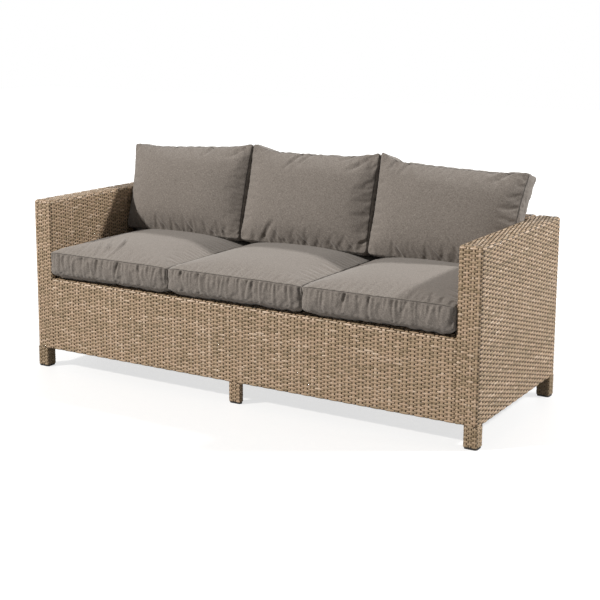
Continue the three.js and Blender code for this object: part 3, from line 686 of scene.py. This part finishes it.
def flat_rows(weave, x, y, z, tilts, phase, width, ends=None):
    """Straight rows of weft along X at the given places, tilted from facing forwards, 0, to
    facing up, a quarter turn."""
    shape = (len(y), len(x), 3)
    centre, outward, across = np.zeros(shape), np.zeros(shape), np.zeros(shape)
    centre[..., 0], centre[..., 1], centre[..., 2] = x[None], y[:, None], z[:, None]
    outward[..., 1], outward[..., 2] = -np.cos(tilts)[:, None], np.sin(tilts)[:, None]
    across[..., 1], across[..., 2] = np.sin(tilts)[:, None], np.cos(tilts)[:, None]
    turn = np.arange(len(y))[:, None] * math.pi
    weave.weft(centre, outward, across, phase[None] + turn, x - x[0], width, ends=ends)


def build_apron():
    """The apron's rows, with its rounded rim, run a little past the arms' inner edges so
    that the front reads as one woven face. Its stakes turn over the rim and run back as
    the deck's warp."""
    low, high = box["front_apron_weave"]
    rear = box["seat_deck_weave"][1][1]
    wide = high[0] - low[0]
    weave = Weave("front_apron_strands", 47)
    rows = panel_rows(low[2], high[2], EDGE_RADIUS)
    heights, insets, tilts = rows
    x = low[0] + stake_samples(LONG_STAKES) * wide
    tuck = APRON_TUCK * np.array([APRON_DIVE_SHARE, 1.0])
    x = np.concatenate([low[0] - tuck[::-1], [low[0]], x, [high[0]], high[0] + tuck])
    phase = math.pi * ((x - low[0]) * LONG_STAKES / wide - 0.5)
    past = np.maximum(np.abs(x) - high[0], 0) / APRON_TUCK
    dive = -STRAND_DIVE * np.clip((past - APRON_DIVE_SHARE) / (1 - APRON_DIVE_SHARE), 0, 1)
    flat_rows(weave, x, low[1] + insets, heights, tilts, phase, ROW_WIDTH, dive[None])
    number = np.arange(LONG_STAKES)
    places = low[0] + (number + 0.5) * wide / LONG_STAKES
    path, out, go = lip_profile(rows, low[2], high[2], EDGE_RADIUS,
                                rear - low[1] - EDGE_RADIUS - WARP_SHORT)
    centre, outward, travel = placed(0, places, 1, path, out, go)
    centre[..., 1] += low[1]
    row = np.arange(len(path)) - 1.0
    row[-2:] = WARP_ROW
    weave.stakes(centre, outward, travel, number, row, STAKE_SHARE * wide / LONG_STAKES)
    weave.finish("front_apron_weave")


def build_deck():
    """Open deck under the cushions: rows of weft across the apron's long stakes."""
    low, high = box["seat_deck_weave"]
    weave = Weave("seat_deck_strands", 53)
    count = int((high[1] - low[1]) / DECK_WEFT_PITCH)
    step = (high[1] - low[1] - DECK_MARGINS) / (count - 1)
    y = low[1] + DECK_FRONT_MARGIN + np.arange(count) * step
    wide = high[0] - low[0]
    x = np.concatenate([[low[0]], low[0] + stake_samples(LONG_STAKES) * wide, [high[0]]])
    phase = math.pi * ((x - low[0]) * LONG_STAKES / wide - 0.5)
    flat_rows(weave, x, y, np.full(count, high[2]), np.full(count, QUARTER_TURN), phase,
              ROW_PITCH)
    weave.finish("seat_deck_weave")


# Painted shade: how much each leg's strands are toned down for the shade under the sofa, most
# on the rear legs, and the depth from which a leg has two stakes on its sides.
LEG_PAINTED_SHADE = {"front_left": 0.7, "front_centre": 0.1, "front_right": 0.5,
              "rear_left": 0.9, "rear_centre": 0.9, "rear_right": 0.9}
DEEP_LEG = 0.03


def build_leg(place, seed):
    """Loops of weft round a leg, with upright stakes on its four sides."""
    node = f"{place}_leg_weave"
    low, high = box[node]
    # The leg's tone carries its painted shade.
    weave = Weave(f"{place}_leg_strands", seed, LEG_PAINTED_SHADE[place])
    stakes = (3, 2) if high[1] - low[1] > DEEP_LEG else (3, 1)
    count = int(round((high[2] - low[2]) / ROW_PITCH))
    heights = low[2] + (np.arange(count) + 0.5) * (high[2] - low[2]) / count
    rows = (heights, np.zeros(count), np.zeros(count))
    weave_ring(weave, low, high, LEG_RADIUS, stakes, rows, np.arange(count))
    path, out, go = face_profile(rows, low[2])
    for side, face, sign in ((0, low, 1), (1, high, -1), (2, high, -1), (3, low, 1)):
        axis = side % 2
        places, numbers, width = side_stakes(low, high, LEG_RADIUS, stakes, side)
        centre, outward, travel = placed(axis, places, sign, path, out, go)
        centre[..., 1 - axis] += face[1 - axis]
        weave.stakes(centre, outward, travel, numbers, np.arange(len(path)) - 1, width)
    weave.finish(node)


for side, seed, outer in (("left", 11, "low"), ("right", 23, "high")):
    woven_panel(f"{side}_arm", f"{side}_arm_weave", seed, EDGE_RADIUS,
                (ARM_FRONT_STAKES, ARM_SIDE_STAKES), 1, ARM_STAKE_SHARE, outer)
woven_panel("back", "back_weave", 31, EDGE_RADIUS, (LONG_STAKES, PANEL_END_STAKES), 0)
build_apron()
build_deck()
for number, place in enumerate(LEG_PAINTED_SHADE):
    build_leg(place, 61 + number)

# ---------------------------------------------------------------- cushions
CUSHION_CELL = 0.007
# Seat cushions: height of the boxing, lower seam above the deck, how far they come forward,
# crowns of the two faces with their powers, draw of the sides, upper and lower edge.
SEAT_BOXING = 0.082
SEAT_BASE = 0.027
SEAT_FORWARD = 0.014
SEAT_CROWNS = (0.031, 0.021)
SEAT_POWERS = ((2.4, 0.72), (16.0, 0.5))
SEAT_CORNER, SEAT_CORNER_DROP = 0.012, 0.004
SEAT_DRAW = (0.001, 0.003, -0.003)
# Back cushions: the same, with their lean, the lower seam's place (y, z) before the setback,
# and each one's own sag, slopes and spread.
LEAN = math.radians(15.6)
BACK_BOXING = 0.076
BACK_HEIGHT = 0.402
BACK_FOOT = (0.1836, 0.4862)
BACK_SETBACK = 0.007
BACK_CROWNS = (0.052, 0.039)
BACK_POWERS = ((2.6, 0.74), (2.4, 0.65))
BACK_CORNER = 0.020
BACK_SIDE_DRAW = 0.006
BACK_SAG = {"left": 0.023, "centre": 0.023, "right": 0.010}
BACK_SLOPES = {"left": (0.040, 0.010, 0.0), "centre": (0.006, 0.012, 0.012),
               "right": (0.004, 0.048, 0.028)}
BACK_SPREAD = {"left": (0.020, 0.0), "centre": (0.0, 0.0), "right": (0.0, 0.027)}
# How much fainter the lower seam's dark line is, and how close to a corner's middle line the
# folds fade. The cloth's frames, the reach of its slack from the seams, and its levels.
LOWER_LINE_FADE = 0.0040
CORNER_CLEAR = 0.02
SIM_FRAMES = 20
SLACK_REACH = 0.075
SLACK_STEPS = 20


def rise(t, edge_power, rise_power):
    """Fullness across a face, (1 - |t|^edge_power)^rise_power, from 1 inside to 0 at the
    seam."""
    return np.clip(1 - np.abs(t) ** edge_power, 0, 1) ** rise_power


def boxed_cushion(half, corner, draw, thickness, crowns, powers, corner_drop=0.0,
                  slope=(0.0, 0.0, 0.0), spread=(0.0, 0.0)):
    """A boxed cushion in its own frame: two faces over a square grid pulled to a rounded
    rectangle, joined by a boxing strip. Each face rises by crown * rise(a) * rise(b), with
    a, b running from -1 to 1. The upper seam drops by corner_drop * |a|^8 * |b|^8 at the
    corners, slope lowers the outline's upper left corner, its upper right corner and the
    left half of its upper edge, and spread moves the upper corners outwards. Gives the
    points, the faces, the seam vertices of both faces in order, and per-point values:
    distance from the nearest seam, distance from the upper seam down the boxing, distance
    that the seam's dark line follows, turn round the outline, distance from the line where
    the nearest side changes, and part of the cover."""
    nx, ny = (int(round(2 * size / CUSHION_CELL)) for size in half)
    ga, gb = np.meshgrid(np.linspace(-1, 1, nx + 1), np.linspace(-1, 1, ny + 1), indexing="ij")
    px, py = ga * half[0], gb * half[1]
    over_x = np.abs(px) - (half[0] - corner)
    over_y = np.abs(py) - (half[1] - corner)
    length = np.hypot(np.maximum(over_x, 0), np.maximum(over_y, 0))
    biggest = np.maximum(np.maximum(over_x, over_y), 1e-9)
    pull = np.where((over_x > 0) & (over_y > 0), biggest / np.maximum(length, 1e-9), 1)
    cx = np.where(over_x > 0, np.sign(px) * (half[0] - corner + over_x * pull), px)
    cy = np.where(over_y > 0, np.sign(py) * (half[1] - corner + over_y * pull), py)
    sides, upper, lower = draw
    cx = cx - ga * sides * (1 - gb ** 2)
    cy = cy - np.where(gb > 0, upper, lower) * gb * (1 - ga ** 4)
    cy = cy - (slope[0] * ((1 - ga) / 2) ** 1.5 + slope[1] * (1 + ga) / 2
               + slope[2] * (1 - ga ** 6) * ((1 - ga) / 2) ** 0.7) * ((1 + gb) / 2) ** 2
    cx = cx + (spread[1] * ((1 + ga) / 2) ** 3 - spread[0] * ((1 - ga) / 2) ** 3) \
        * ((1 + gb) / 2) ** 2
    bump, under = (rise(ga, *power) * rise(gb, *power) for power in powers)
    drop = corner_drop * np.abs(ga * gb) ** 8
    top = np.stack([cx, cy, thickness + crowns[0] * bump - drop], -1)
    bottom = np.stack([cx, cy, -crowns[1] * under], -1)
    edge = np.concatenate([
        np.stack([np.arange(nx), np.zeros(nx, int)], -1),
        np.stack([np.full(ny, nx), np.arange(ny)], -1),
        np.stack([np.arange(nx, 0, -1), np.full(nx, ny)], -1),
        np.stack([np.zeros(ny, int), np.arange(ny, 0, -1)], -1),
    ])
    strips = max(int(round(thickness / CUSHION_CELL)), 2)
    share = np.arange(1, strips) / strips
    shape = (len(share), len(edge))
    plan = np.broadcast_to(top[edge[:, 0], edge[:, 1], :2][None], (*shape, 2))
    levels_z = np.broadcast_to((thickness * (1 - share))[:, None, None], (*shape, 1))
    wall = np.concatenate([plan, levels_z], -1)
    grid_top = np.arange(ga.size).reshape(ga.shape)
    grid_bottom = grid_top + grid_top.size
    number_wall = 2 * grid_top.size + np.arange(wall[..., 0].size).reshape(shape)
    levels = np.concatenate([grid_top[edge[:, 0], edge[:, 1]][None], number_wall,
                             grid_bottom[edge[:, 0], edge[:, 1]][None]])

    def cells(grid):
        return np.stack([grid[:-1, :-1], grid[1:, :-1], grid[1:, 1:], grid[:-1, 1:]], -1)

    after = np.roll(levels, -1, axis=1)
    faces_wall = np.stack([levels[1:], after[1:], after[:-1], levels[:-1]], -1).reshape(-1, 4)
    points = np.concatenate([top.reshape(-1, 3), bottom.reshape(-1, 3), wall.reshape(-1, 3)])
    faces = np.concatenate([cells(grid_top).reshape(-1, 4),
                            cells(grid_bottom)[..., ::-1].reshape(-1, 4), faces_wall])
    column, row = np.meshgrid(np.arange(nx + 1), np.arange(ny + 1), indexing="ij")
    to_side = np.stack([row, nx - column, ny - row, column])
    place = np.stack([column, nx + row, 2 * nx + ny - column, 2 * nx + 2 * ny - row])
    nearest = np.argmin(to_side, axis=0)[None]
    outline = np.take_along_axis(place, nearest, axis=0)[0].ravel()
    ordered = np.sort(to_side, axis=0) * CUSHION_CELL
    inner, between = ordered[0].ravel(), (ordered[1] - ordered[0]).ravel()
    near = np.broadcast_to((np.minimum(share, 1 - share) * thickness)[:, None], shape).ravel()
    down = np.broadcast_to((share * thickness)[:, None], shape).ravel()
    faint = np.where(down > thickness / 2, LOWER_LINE_FADE, 0)
    around = np.broadcast_to(np.arange(len(edge))[None], shape).ravel()
    turn = np.concatenate([outline, outline, around]) * (2 * math.pi / len(edge))
    values = {"seam": np.concatenate([inner, inner, near]),
              "down": np.concatenate([inner, inner, down]),
              "line": np.concatenate([inner, inner + LOWER_LINE_FADE, near + faint]),
              "turn_x": np.cos(turn), "turn_y": np.sin(turn),
              "between": np.concatenate([between, between, np.full(len(down), 1.0)]),
              "part": np.repeat([0.0, 1.0, 2.0], [ga.size, ga.size, len(down)])}
    return points, faces, (levels[0], levels[-1]), values


def roughen(random, points, wavelengths, amount):
    """Moves the points by up to the amount along the diagonal: a sum of sine waves in random
    directions, one set per wavelength, for soft unevenness."""
    total = np.zeros(len(points))
    for wavelength in wavelengths:
        for _ in range(4):
            direction = random.normal(size=3)
            direction *= 2 * math.pi / wavelength / np.linalg.norm(direction)
            total += np.sin(points @ direction + random.uniform(0, 2 * math.pi))
    points += (total / (4 * len(wavelengths)))[:, None] * amount


def read_values(mesh, name, width=1):
    """Places, normals or a named attribute of a mesh's vertices as an array."""
    values = np.empty(len(mesh.vertices) * width, np.float32)
    if name in ("co", "normal"):
        source = mesh.vertices if name == "co" else mesh.vertex_normals
        source.foreach_get("co" if name == "co" else "vector", values)
    else:
        mesh.attributes[name].data.foreach_get("value", values)
    values = values.astype(float)
    return values.reshape(-1, width) if width > 1 else values


def inflate(made, seams, slack_edge, slack_middle, pressure, cap):
    """Lets the cover fill out like sewn cloth over foam: the seams are held, the cloth
    beside them is a little too long and gathers into puckers, and the pressure lifts the
    rest. No point moves farther than about cap."""
    mesh = made.data
    start = read_values(mesh, "co", 3)
    held = made.vertex_groups.new(name="held")
    held.add([int(i) for i in np.concatenate(seams)], 1.0, "REPLACE")
    slack = made.vertex_groups.new(name="slack")
    weight = np.clip(read_values(mesh, "seam") / SLACK_REACH, 0, 1) ** 0.7
    level = np.round(weight * SLACK_STEPS).astype(int)
    for step in range(SLACK_STEPS + 1):
        chosen = np.nonzero(level == step)[0]
        if len(chosen):
            slack.add(chosen.tolist(), step / SLACK_STEPS, "REPLACE")
    cloth = made.modifiers.new("cloth", "CLOTH")
    settings = cloth.settings
    settings.quality = 5
    settings.mass = 0.25
    settings.tension_stiffness = settings.compression_stiffness = 12
    settings.shear_stiffness = 4
    settings.bending_stiffness = 0.35
    settings.tension_damping = settings.compression_damping = 8
    settings.shear_damping = 6
    settings.vertex_group_mass = "held"
    settings.vertex_group_shrink = "slack"
    settings.shrink_min = slack_edge
    settings.shrink_max = slack_middle
    settings.use_pressure = True
    settings.uniform_pressure_force = pressure
    settings.effector_weights.gravity = 0
    cloth.collision_settings.use_collision = False
    cloth.point_cache.frame_start = 1
    cloth.point_cache.frame_end = SIM_FRAMES
    scene = bpy.context.scene
    for number in range(1, SIM_FRAMES + 1):
        scene.frame_set(number)
    moved = made.evaluated_get(bpy.context.evaluated_depsgraph_get()).data
    shift = read_values(moved, "co", 3) - start
    made.modifiers.remove(cloth)
    scene.frame_set(1)
    far = np.linalg.norm(shift, axis=1, keepdims=True)
    shift *= np.tanh(far / cap) * cap / np.maximum(far, 1e-9)
    mesh.vertices.foreach_set("co", (start + shift).astype(np.float32).ravel())
    mesh.update()


def fold_depth(along, away, folds):
    """Depth of a row of folds that start at a seam. A fold at place s with a reach, width,
    depth and skew gives depth * exp(-|u / width|^1.5) - depth * 0.45 * exp(-(u / width -
    2)^2), with u = along - s - skew * away, times exp(-(away / reach)^1.6), and fades to
    nothing on the seam itself."""
    total = np.zeros(len(along))
    for place, reach, width, depth, skew in folds:
        u = (along - place - skew * away) / width
        near = (np.abs(u) < 5) & (away < 2.5 * reach)
        t, v = u[near], away[near]
        valley = np.exp(-np.abs(t) ** 1.5) - 0.45 * np.exp(-(t - 2) ** 2)
        total[near] += depth * valley * np.exp(-(v / reach) ** 1.6) * (1 - np.exp(-v / 0.004))
    return total


def row_of_folds(random, start, end, pitch, reach, width, depth, skew):
    """Folds from start to end along a seam. Pitch, reach, width, depth and skew are each a
    low and a high value that the fold's own value is drawn between."""
    folds, place = [], start
    while place < end:
        place += random.uniform(*pitch)
        folds.append((place, *(random.uniform(*pair) for pair in (reach, width, depth, skew))))
    return folds


def crease_depth(points, creases, axes):
    """Depth of single curved creases. A crease runs from one point of the face to another,
    bowed sideways by bow, and is depth * exp(-|d / width|^1.5) deep at d from its line,
    fading towards both ends."""
    total = np.zeros(len(points))
    plane = points @ np.stack(axes, axis=1)
    for start, end, bow, width, depth in creases:
        start, end = np.array(start), np.array(end)
        run = end - start
        length = np.linalg.norm(run)
        run /= length
        side = np.array([-run[1], run[0]])
        t = (plane - start) @ run / length
        d = (plane - start) @ side - 4 * bow * t * (1 - t)
        inside = (t > 0) & (t < 1)
        fade = np.sin(math.pi * np.clip(t, 0, 1)) ** 0.7
        valley = np.exp(-np.abs(d / width) ** 1.5) - 0.4 * np.exp(-(d / width - 2.2) ** 2)
        total += np.where(inside, depth * fade * valley, 0)
    return total


def gather(made, folds, creases, origin, axes):
    """Smooths the cover once, then presses the folds and creases into it along its
    normals. Folds are given for the top face, the bottom face, and the boxing, where they
    start at the upper seam."""
    smooth = made.modifiers.new("smooth", "SUBSURF")
    smooth.levels = smooth.render_levels = 1
    depsgraph = bpy.context.evaluated_depsgraph_get()
    mesh = bpy.data.meshes.new_from_object(made.evaluated_get(depsgraph), depsgraph=depsgraph)
    made.modifiers.remove(smooth)
    made.data = mesh
    points, normals = read_values(mesh, "co", 3), read_values(mesh, "normal", 3)
    down, between, part = (read_values(mesh, name) for name in ("down", "between", "part"))
    turn = np.arctan2(read_values(mesh, "turn_y"), read_values(mesh, "turn_x")) % (2 * math.pi)
    depth = np.zeros(len(points))
    clear = np.clip(between / CORNER_CLEAR, 0, 1)
    for chosen, rows in ((part < 0.5, folds["top"]),
                         ((part > 0.5) & (part < 1.5), folds["bottom"]),
                         (part >= 1.5, folds["boxing"])):
        along = turn[chosen] / (2 * math.pi) * folds["girth"]
        depth[chosen] += fold_depth(along, down[chosen], rows) * clear[chosen]
    face = part < 0.5
    depth[face] += crease_depth(points[face] - origin, creases, axes[:2])
    points -= normals * depth[:, None]
    mesh.vertices.foreach_set("co", points.astype(np.float32).ravel())
    mesh.update()
    mesh.shade_smooth()


def cover(name, node, shape, turn, origin, sim, folds, creases):
    """A finished cushion cover on its node. turn holds the world directions of the
    cushion's own three axes, and origin the place of its lower seam's middle."""
    points, faces, seams, values = shape
    made = mesh_object(name, points @ turn + origin, faces, values)
    inflate(made, seams, **sim)
    gather(made, folds, creases, origin, turn)
    made.data.materials.clear()
    made.data.materials.append(materials["fabric"])
    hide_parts(node)
    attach(made, node)


# Creases of each cushion's upper or front face, measured from the middle of its lower seam:
# start, end, bow, width and depth.
SEAT_CREASES = {
    "left": [((0.008, -0.308), (-0.089, -0.085), -0.018, 0.0050, 0.0075),
             ((-0.030, -0.318), (-0.117, -0.142), -0.010, 0.0055, 0.0058),
             ((-0.066, -0.318), (-0.130, -0.188), -0.008, 0.0050, 0.0050),
             ((-0.022, -0.318), (-0.066, -0.222), -0.006, 0.005, 0.0030),
             ((-0.150, -0.300), (-0.213, -0.125), -0.010, 0.008, 0.0024),
             ((0.100, -0.318), (0.060, -0.240), -0.006, 0.007, 0.0020)],
    "centre": [((0.230, -0.314), (0.206, -0.240), 0.006, 0.006, 0.0022),
               ((0.262, -0.316), (0.262, -0.270), 0.003, 0.005, 0.0026)],
    "right": [((0.203, -0.320), (0.183, -0.262), 0.004, 0.005, 0.0034),
              ((0.238, -0.320), (0.232, -0.276), 0.003, 0.005, 0.0036),
              ((0.268, -0.320), (0.270, -0.282), 0.002, 0.004, 0.0034)],
}
BACK_CREASES = {
    "left": [((0.080, 0.118), (0.115, 0.186), 0.004, 0.006, 0.0062),
             ((-0.090, 0.130), (-0.065, 0.184), 0.003, 0.006, 0.0040),
             ((0.190, 0.120), (0.268, 0.186), -0.006, 0.009, 0.0050)],
    "centre": [((-0.105, 0.085), (-0.030, 0.180), 0.006, 0.006, 0.0075),
               ((-0.045, 0.110), (0.010, 0.178), 0.005, 0.006, 0.0050),
               ((0.170, 0.100), (0.268, 0.186), -0.006, 0.009, 0.0060),
               ((0.120, 0.140), (0.200, 0.184), -0.004, 0.007, 0.0035),
               ((-0.170, -0.196), (-0.105, -0.110), 0.006, 0.008, 0.0055)],
    "right": [((-0.185, 0.095), (-0.150, 0.176), 0.004, 0.006, 0.0070),
              ((-0.225, 0.120), (-0.205, 0.182), 0.004, 0.006, 0.0050),
              ((0.180, 0.100), (0.268, 0.186), -0.006, 0.009, 0.0062),
              ((0.140, 0.135), (0.240, 0.188), -0.006, 0.007, 0.0045)],
}


def build_seat_cushion(side, seed):
    """A seat cushion on its node, with gathers all round its boxing."""
    node = f"seat_cushion_{side}"
    low, high = box[node]
    middle = (low + high) / 2
    half = (high - low)[:2] / 2 + np.array([0, SEAT_FORWARD / 2])
    shape = boxed_cushion(half, SEAT_CORNER, SEAT_DRAW, SEAT_BOXING, SEAT_CROWNS, SEAT_POWERS,
                          corner_drop=SEAT_CORNER_DROP)
    random = np.random.default_rng(seed)
    roughen(random, shape[0], (0.02, 0.05, 0.12), 0.0016)
    girth = 4 * (half[0] + half[1])
    folds = {
        "girth": girth,
        "top": row_of_folds(random, 0, girth, (0.018, 0.050), (0.010, 0.026),
                            (0.0035, 0.006), (0.0004, 0.0013), (-0.5, 0.5)),
        "bottom": [],
        "boxing": row_of_folds(random, 0, girth, (0.010, 0.030), (0.030, 0.056),
                               (0.0032, 0.0058), (0.0022, 0.0056), (-0.12, 0.12))
        + row_of_folds(random, 0, girth, (0.040, 0.110), (0.048, 0.072),
                       (0.0042, 0.0062), (0.0055, 0.0090), (-0.30, 0.30)),
    }
    origin = np.array([middle[0], middle[1] - SEAT_FORWARD / 2, low[2] + SEAT_BASE])
    sim = dict(slack_edge=-0.05, slack_middle=-0.004, pressure=4.0, cap=0.022)
    cover(f"seat_cushion_{side}_cover", node, shape, np.eye(3), origin, sim, folds,
          SEAT_CREASES[side])


def build_back_cushion(side, seed):
    """A back cushion on its node, leaning back, with slanting folds along its lower seam."""
    node = f"back_cushion_{side}"
    low, high = box[node]
    half = np.array([(high - low)[0] / 2, BACK_HEIGHT / 2])
    shape = boxed_cushion(half, BACK_CORNER, (BACK_SIDE_DRAW, BACK_SAG[side], 0.0),
                          BACK_BOXING, BACK_CROWNS, BACK_POWERS, slope=BACK_SLOPES[side],
                          spread=BACK_SPREAD[side])
    random = np.random.default_rng(seed)
    roughen(random, shape[0], (0.02, 0.04, 0.09), 0.0012)
    up = np.array([0, math.sin(LEAN), math.cos(LEAN)])
    out = np.array([0, -math.cos(LEAN), math.sin(LEAN)])
    turn = np.stack([np.array([1.0, 0, 0]), up, out])
    origin = np.array([(low + high)[0] / 2, *BACK_FOOT]) + up * BACK_HEIGHT / 2 \
        + out * BACK_SETBACK
    wide, tall = 2 * half
    girth = 2 * (wide + tall)
    folds = {
        "girth": girth,
        "top": row_of_folds(random, 0.02, wide - 0.02, (0.014, 0.050), (0.010, 0.034),
                            (0.0032, 0.0065), (0.0010, 0.0040), (-1.1, -0.3))
        + row_of_folds(random, 0.06, wide - 0.04, (0.050, 0.120), (0.034, 0.060),
                       (0.0045, 0.0075), (0.0050, 0.0085), (-1.0, -0.5))
        + row_of_folds(random, wide, wide + tall, (0.030, 0.110), (0.008, 0.024),
                       (0.004, 0.007), (0.0006, 0.0022), (-0.5, 0.5))
        + row_of_folds(random, wide + tall, girth - tall, (0.020, 0.060), (0.012, 0.030),
                       (0.004, 0.007), (0.0006, 0.0020), (-0.8, 0.3))
        + row_of_folds(random, girth - tall, girth, (0.030, 0.060), (0.012, 0.026),
                       (0.004, 0.007), (0.0006, 0.0018), (-0.5, 0.5)),
        "bottom": row_of_folds(random, 0, girth, (0.020, 0.050), (0.015, 0.035),
                               (0.004, 0.007), (0.0006, 0.0016), (-0.5, 0.5)),
        "boxing": row_of_folds(random, 0, girth, (0.014, 0.040), (0.014, 0.040),
                               (0.004, 0.007), (0.0005, 0.0018), (-0.2, 0.2)),
    }
    sim = dict(slack_edge=-0.06, slack_middle=-0.006, pressure=4.0, cap=0.026)
    cover(f"back_cushion_{side}_cover", node, shape, turn, origin, sim, folds,
          BACK_CREASES[side])


for number, side in enumerate(SIDES):
    build_seat_cushion(side, 101 + number)
    build_back_cushion(side, 201 + number)

# ---------------------------------------------------------------- carried-over nodes
record_slots = {row["node"]: row.get("material_slot") for row in frame["record"]["subparts"]}
for name, node in frame["nodes"].items():
    kind = record_slots.get(name, "tube")
    node.data.materials.clear()
    node.data.materials.append(materials[kind])

# ---------------------------------------------------------------- floor, lights and camera
FLOOR_HALF = 14.0
GLOW_NEAR, GLOW_FAR = (1.0, 0.70), (2.2, 1.0)
GLOW_UNSEEN = 0.15
AIR_STRENGTH = 0.20
AIR_GLOSSY_SHARE = 0.9


def studio_floor():
    """White sweep: lit near the sofa, where it takes the soft shadow, and glowing plain
    white farther out, so that no horizon shows. The glow runs between two (distance, share)
    pairs, and only the camera sees it in full."""
    corners = np.array([(-1, -1, 0), (1, -1, 0), (1, 1, 0), (-1, 1, 0)]) * FLOOR_HALF
    floor = mesh_object("studio_floor", corners, np.array([(0, 1, 2, 3)]))
    material, nodes, links, shader = new_material("white_floor")
    place = nodes.new("ShaderNodeTexCoord")
    reach = nodes.new("ShaderNodeVectorMath")
    reach.operation = "LENGTH"
    links.new(place.outputs["Object"], reach.inputs[0])
    far = nodes.new("ShaderNodeMapRange")
    far.interpolation_type = "SMOOTHSTEP"
    for end, (distance, share) in (("Min", GLOW_NEAR), ("Max", GLOW_FAR)):
        far.inputs[f"From {end}"].default_value = distance
        far.inputs[f"To {end}"].default_value = share
    links.new(reach.outputs["Value"], far.inputs["Value"])
    rays = nodes.new("ShaderNodeLightPath")
    seen = nodes.new("ShaderNodeMapRange")
    seen.inputs["To Min"].default_value = GLOW_UNSEEN
    links.new(rays.outputs["Is Camera Ray"], seen.inputs["Value"])
    shown = math_node(nodes, links, "MULTIPLY", far.outputs[0], seen.outputs[0])
    glow = nodes.new("ShaderNodeCombineColor")
    for channel in range(3):
        links.new(shown, glow.inputs[channel])
    links.new(glow.outputs[0], shader.inputs["Emission Color"])
    shader.inputs["Emission Strength"].default_value = 1.0
    shader.inputs["Base Color"].default_value = (0.28, 0.28, 0.28, 1)
    shader.inputs["Roughness"].default_value = 0.5
    shader.inputs["Specular IOR Level"].default_value = 0.2
    floor.data.materials.append(material)


def area_light(name, place, target, size, power, colour):
    """Round light at the place, turned to the target."""
    light = bpy.data.lights.new(name, "AREA")
    light.shape = "DISK"
    light.size = size
    light.energy = power
    light.color = colour
    made = bpy.data.objects.new(name, light)
    bpy.context.scene.collection.objects.link(made)
    made.location = place
    made.rotation_euler = (Vector(target) - Vector(place)).to_track_quat("-Z", "Y").to_euler()


def studio_air():
    """Even dim light from all round, seen by the camera as plain white and by glossy
    reflections as a pale room."""
    world = bpy.data.worlds.new("studio_air")
    bpy.context.scene.world = world
    world.use_nodes = True
    nodes, links = world.node_tree.nodes, world.node_tree.links
    even = nodes["Background"]
    even.inputs["Color"].default_value = (1, 1, 1, 1)
    even.inputs["Strength"].default_value = AIR_STRENGTH
    seen = nodes.new("ShaderNodeBackground")
    seen.inputs["Color"].default_value = (1, 1, 1, 1)
    seen.inputs["Strength"].default_value = 1.0
    rays = nodes.new("ShaderNodeLightPath")
    choice = nodes.new("ShaderNodeMixShader")
    glossy = math_node(nodes, links, "MULTIPLY", rays.outputs["Is Glossy Ray"],
                       AIR_GLOSSY_SHARE)
    share = math_node(nodes, links, "MAXIMUM", rays.outputs["Is Camera Ray"], glossy)
    links.new(share, choice.inputs["Fac"])
    links.new(even.outputs[0], choice.inputs[1])
    links.new(seen.outputs[0], choice.inputs[2])
    links.new(choice.outputs[0], nodes["World Output"].inputs["Surface"])


studio_floor()
studio_air()
area_light("front_light", (-7.4, -8.3, 8.6), (0.0, 0.0, 0.4), 0.9, 2240, (1.0, 0.96, 0.91))
area_light("rear_light", (7.3, 3.9, 6.5), (0.3, 0.0, 0.5), 0.8, 1040, (1.0, 0.98, 0.95))
area_light("side_light", (4.6, 0.8, 0.6), (0.95, 0.0, 0.4), 0.5, 34, (1.0, 0.98, 0.95))

CAMERA_PLACE = Vector((2.4276, -3.9801, 1.3994))
CAMERA_YAW, CAMERA_PITCH, CAMERA_ROLL = 0.5503, 0.1871, 0.0037
FOCAL_PIXELS = 1242.892
FRAME_PIXELS = 600
CENTRE_PIXELS = (283.676, 248.724)
SENSOR = 36.0


def build_camera():
    """Camera from its place, turn and focal length in the photograph's pixels."""
    camera = bpy.data.objects.new("view_camera", bpy.data.cameras.new("view_camera"))
    bpy.context.scene.collection.objects.link(camera)
    cy, sy = math.cos(CAMERA_YAW), math.sin(CAMERA_YAW)
    cp, sp = math.cos(CAMERA_PITCH), math.sin(CAMERA_PITCH)
    forward = Vector((-sy * cp, cy * cp, -sp))
    right = Vector((cy, sy, 0))
    up = right.cross(forward)
    rolled_right = math.cos(CAMERA_ROLL) * right + math.sin(CAMERA_ROLL) * up
    rolled_up = math.cos(CAMERA_ROLL) * up - math.sin(CAMERA_ROLL) * right
    axes = Matrix((rolled_right, rolled_up, -forward)).transposed()
    camera.matrix_world = Matrix.Translation(CAMERA_PLACE) @ axes.to_4x4()
    lens = camera.data
    lens.sensor_width = SENSOR
    lens.lens = FOCAL_PIXELS / FRAME_PIXELS * SENSOR
    lens.shift_x = 0.5 - CENTRE_PIXELS[0] / FRAME_PIXELS
    lens.shift_y = CENTRE_PIXELS[1] / FRAME_PIXELS - 0.5
    lens.clip_end = 60
    bpy.context.scene.camera = camera


build_camera()
bpy.context.scene.view_settings.view_transform = "Standard"
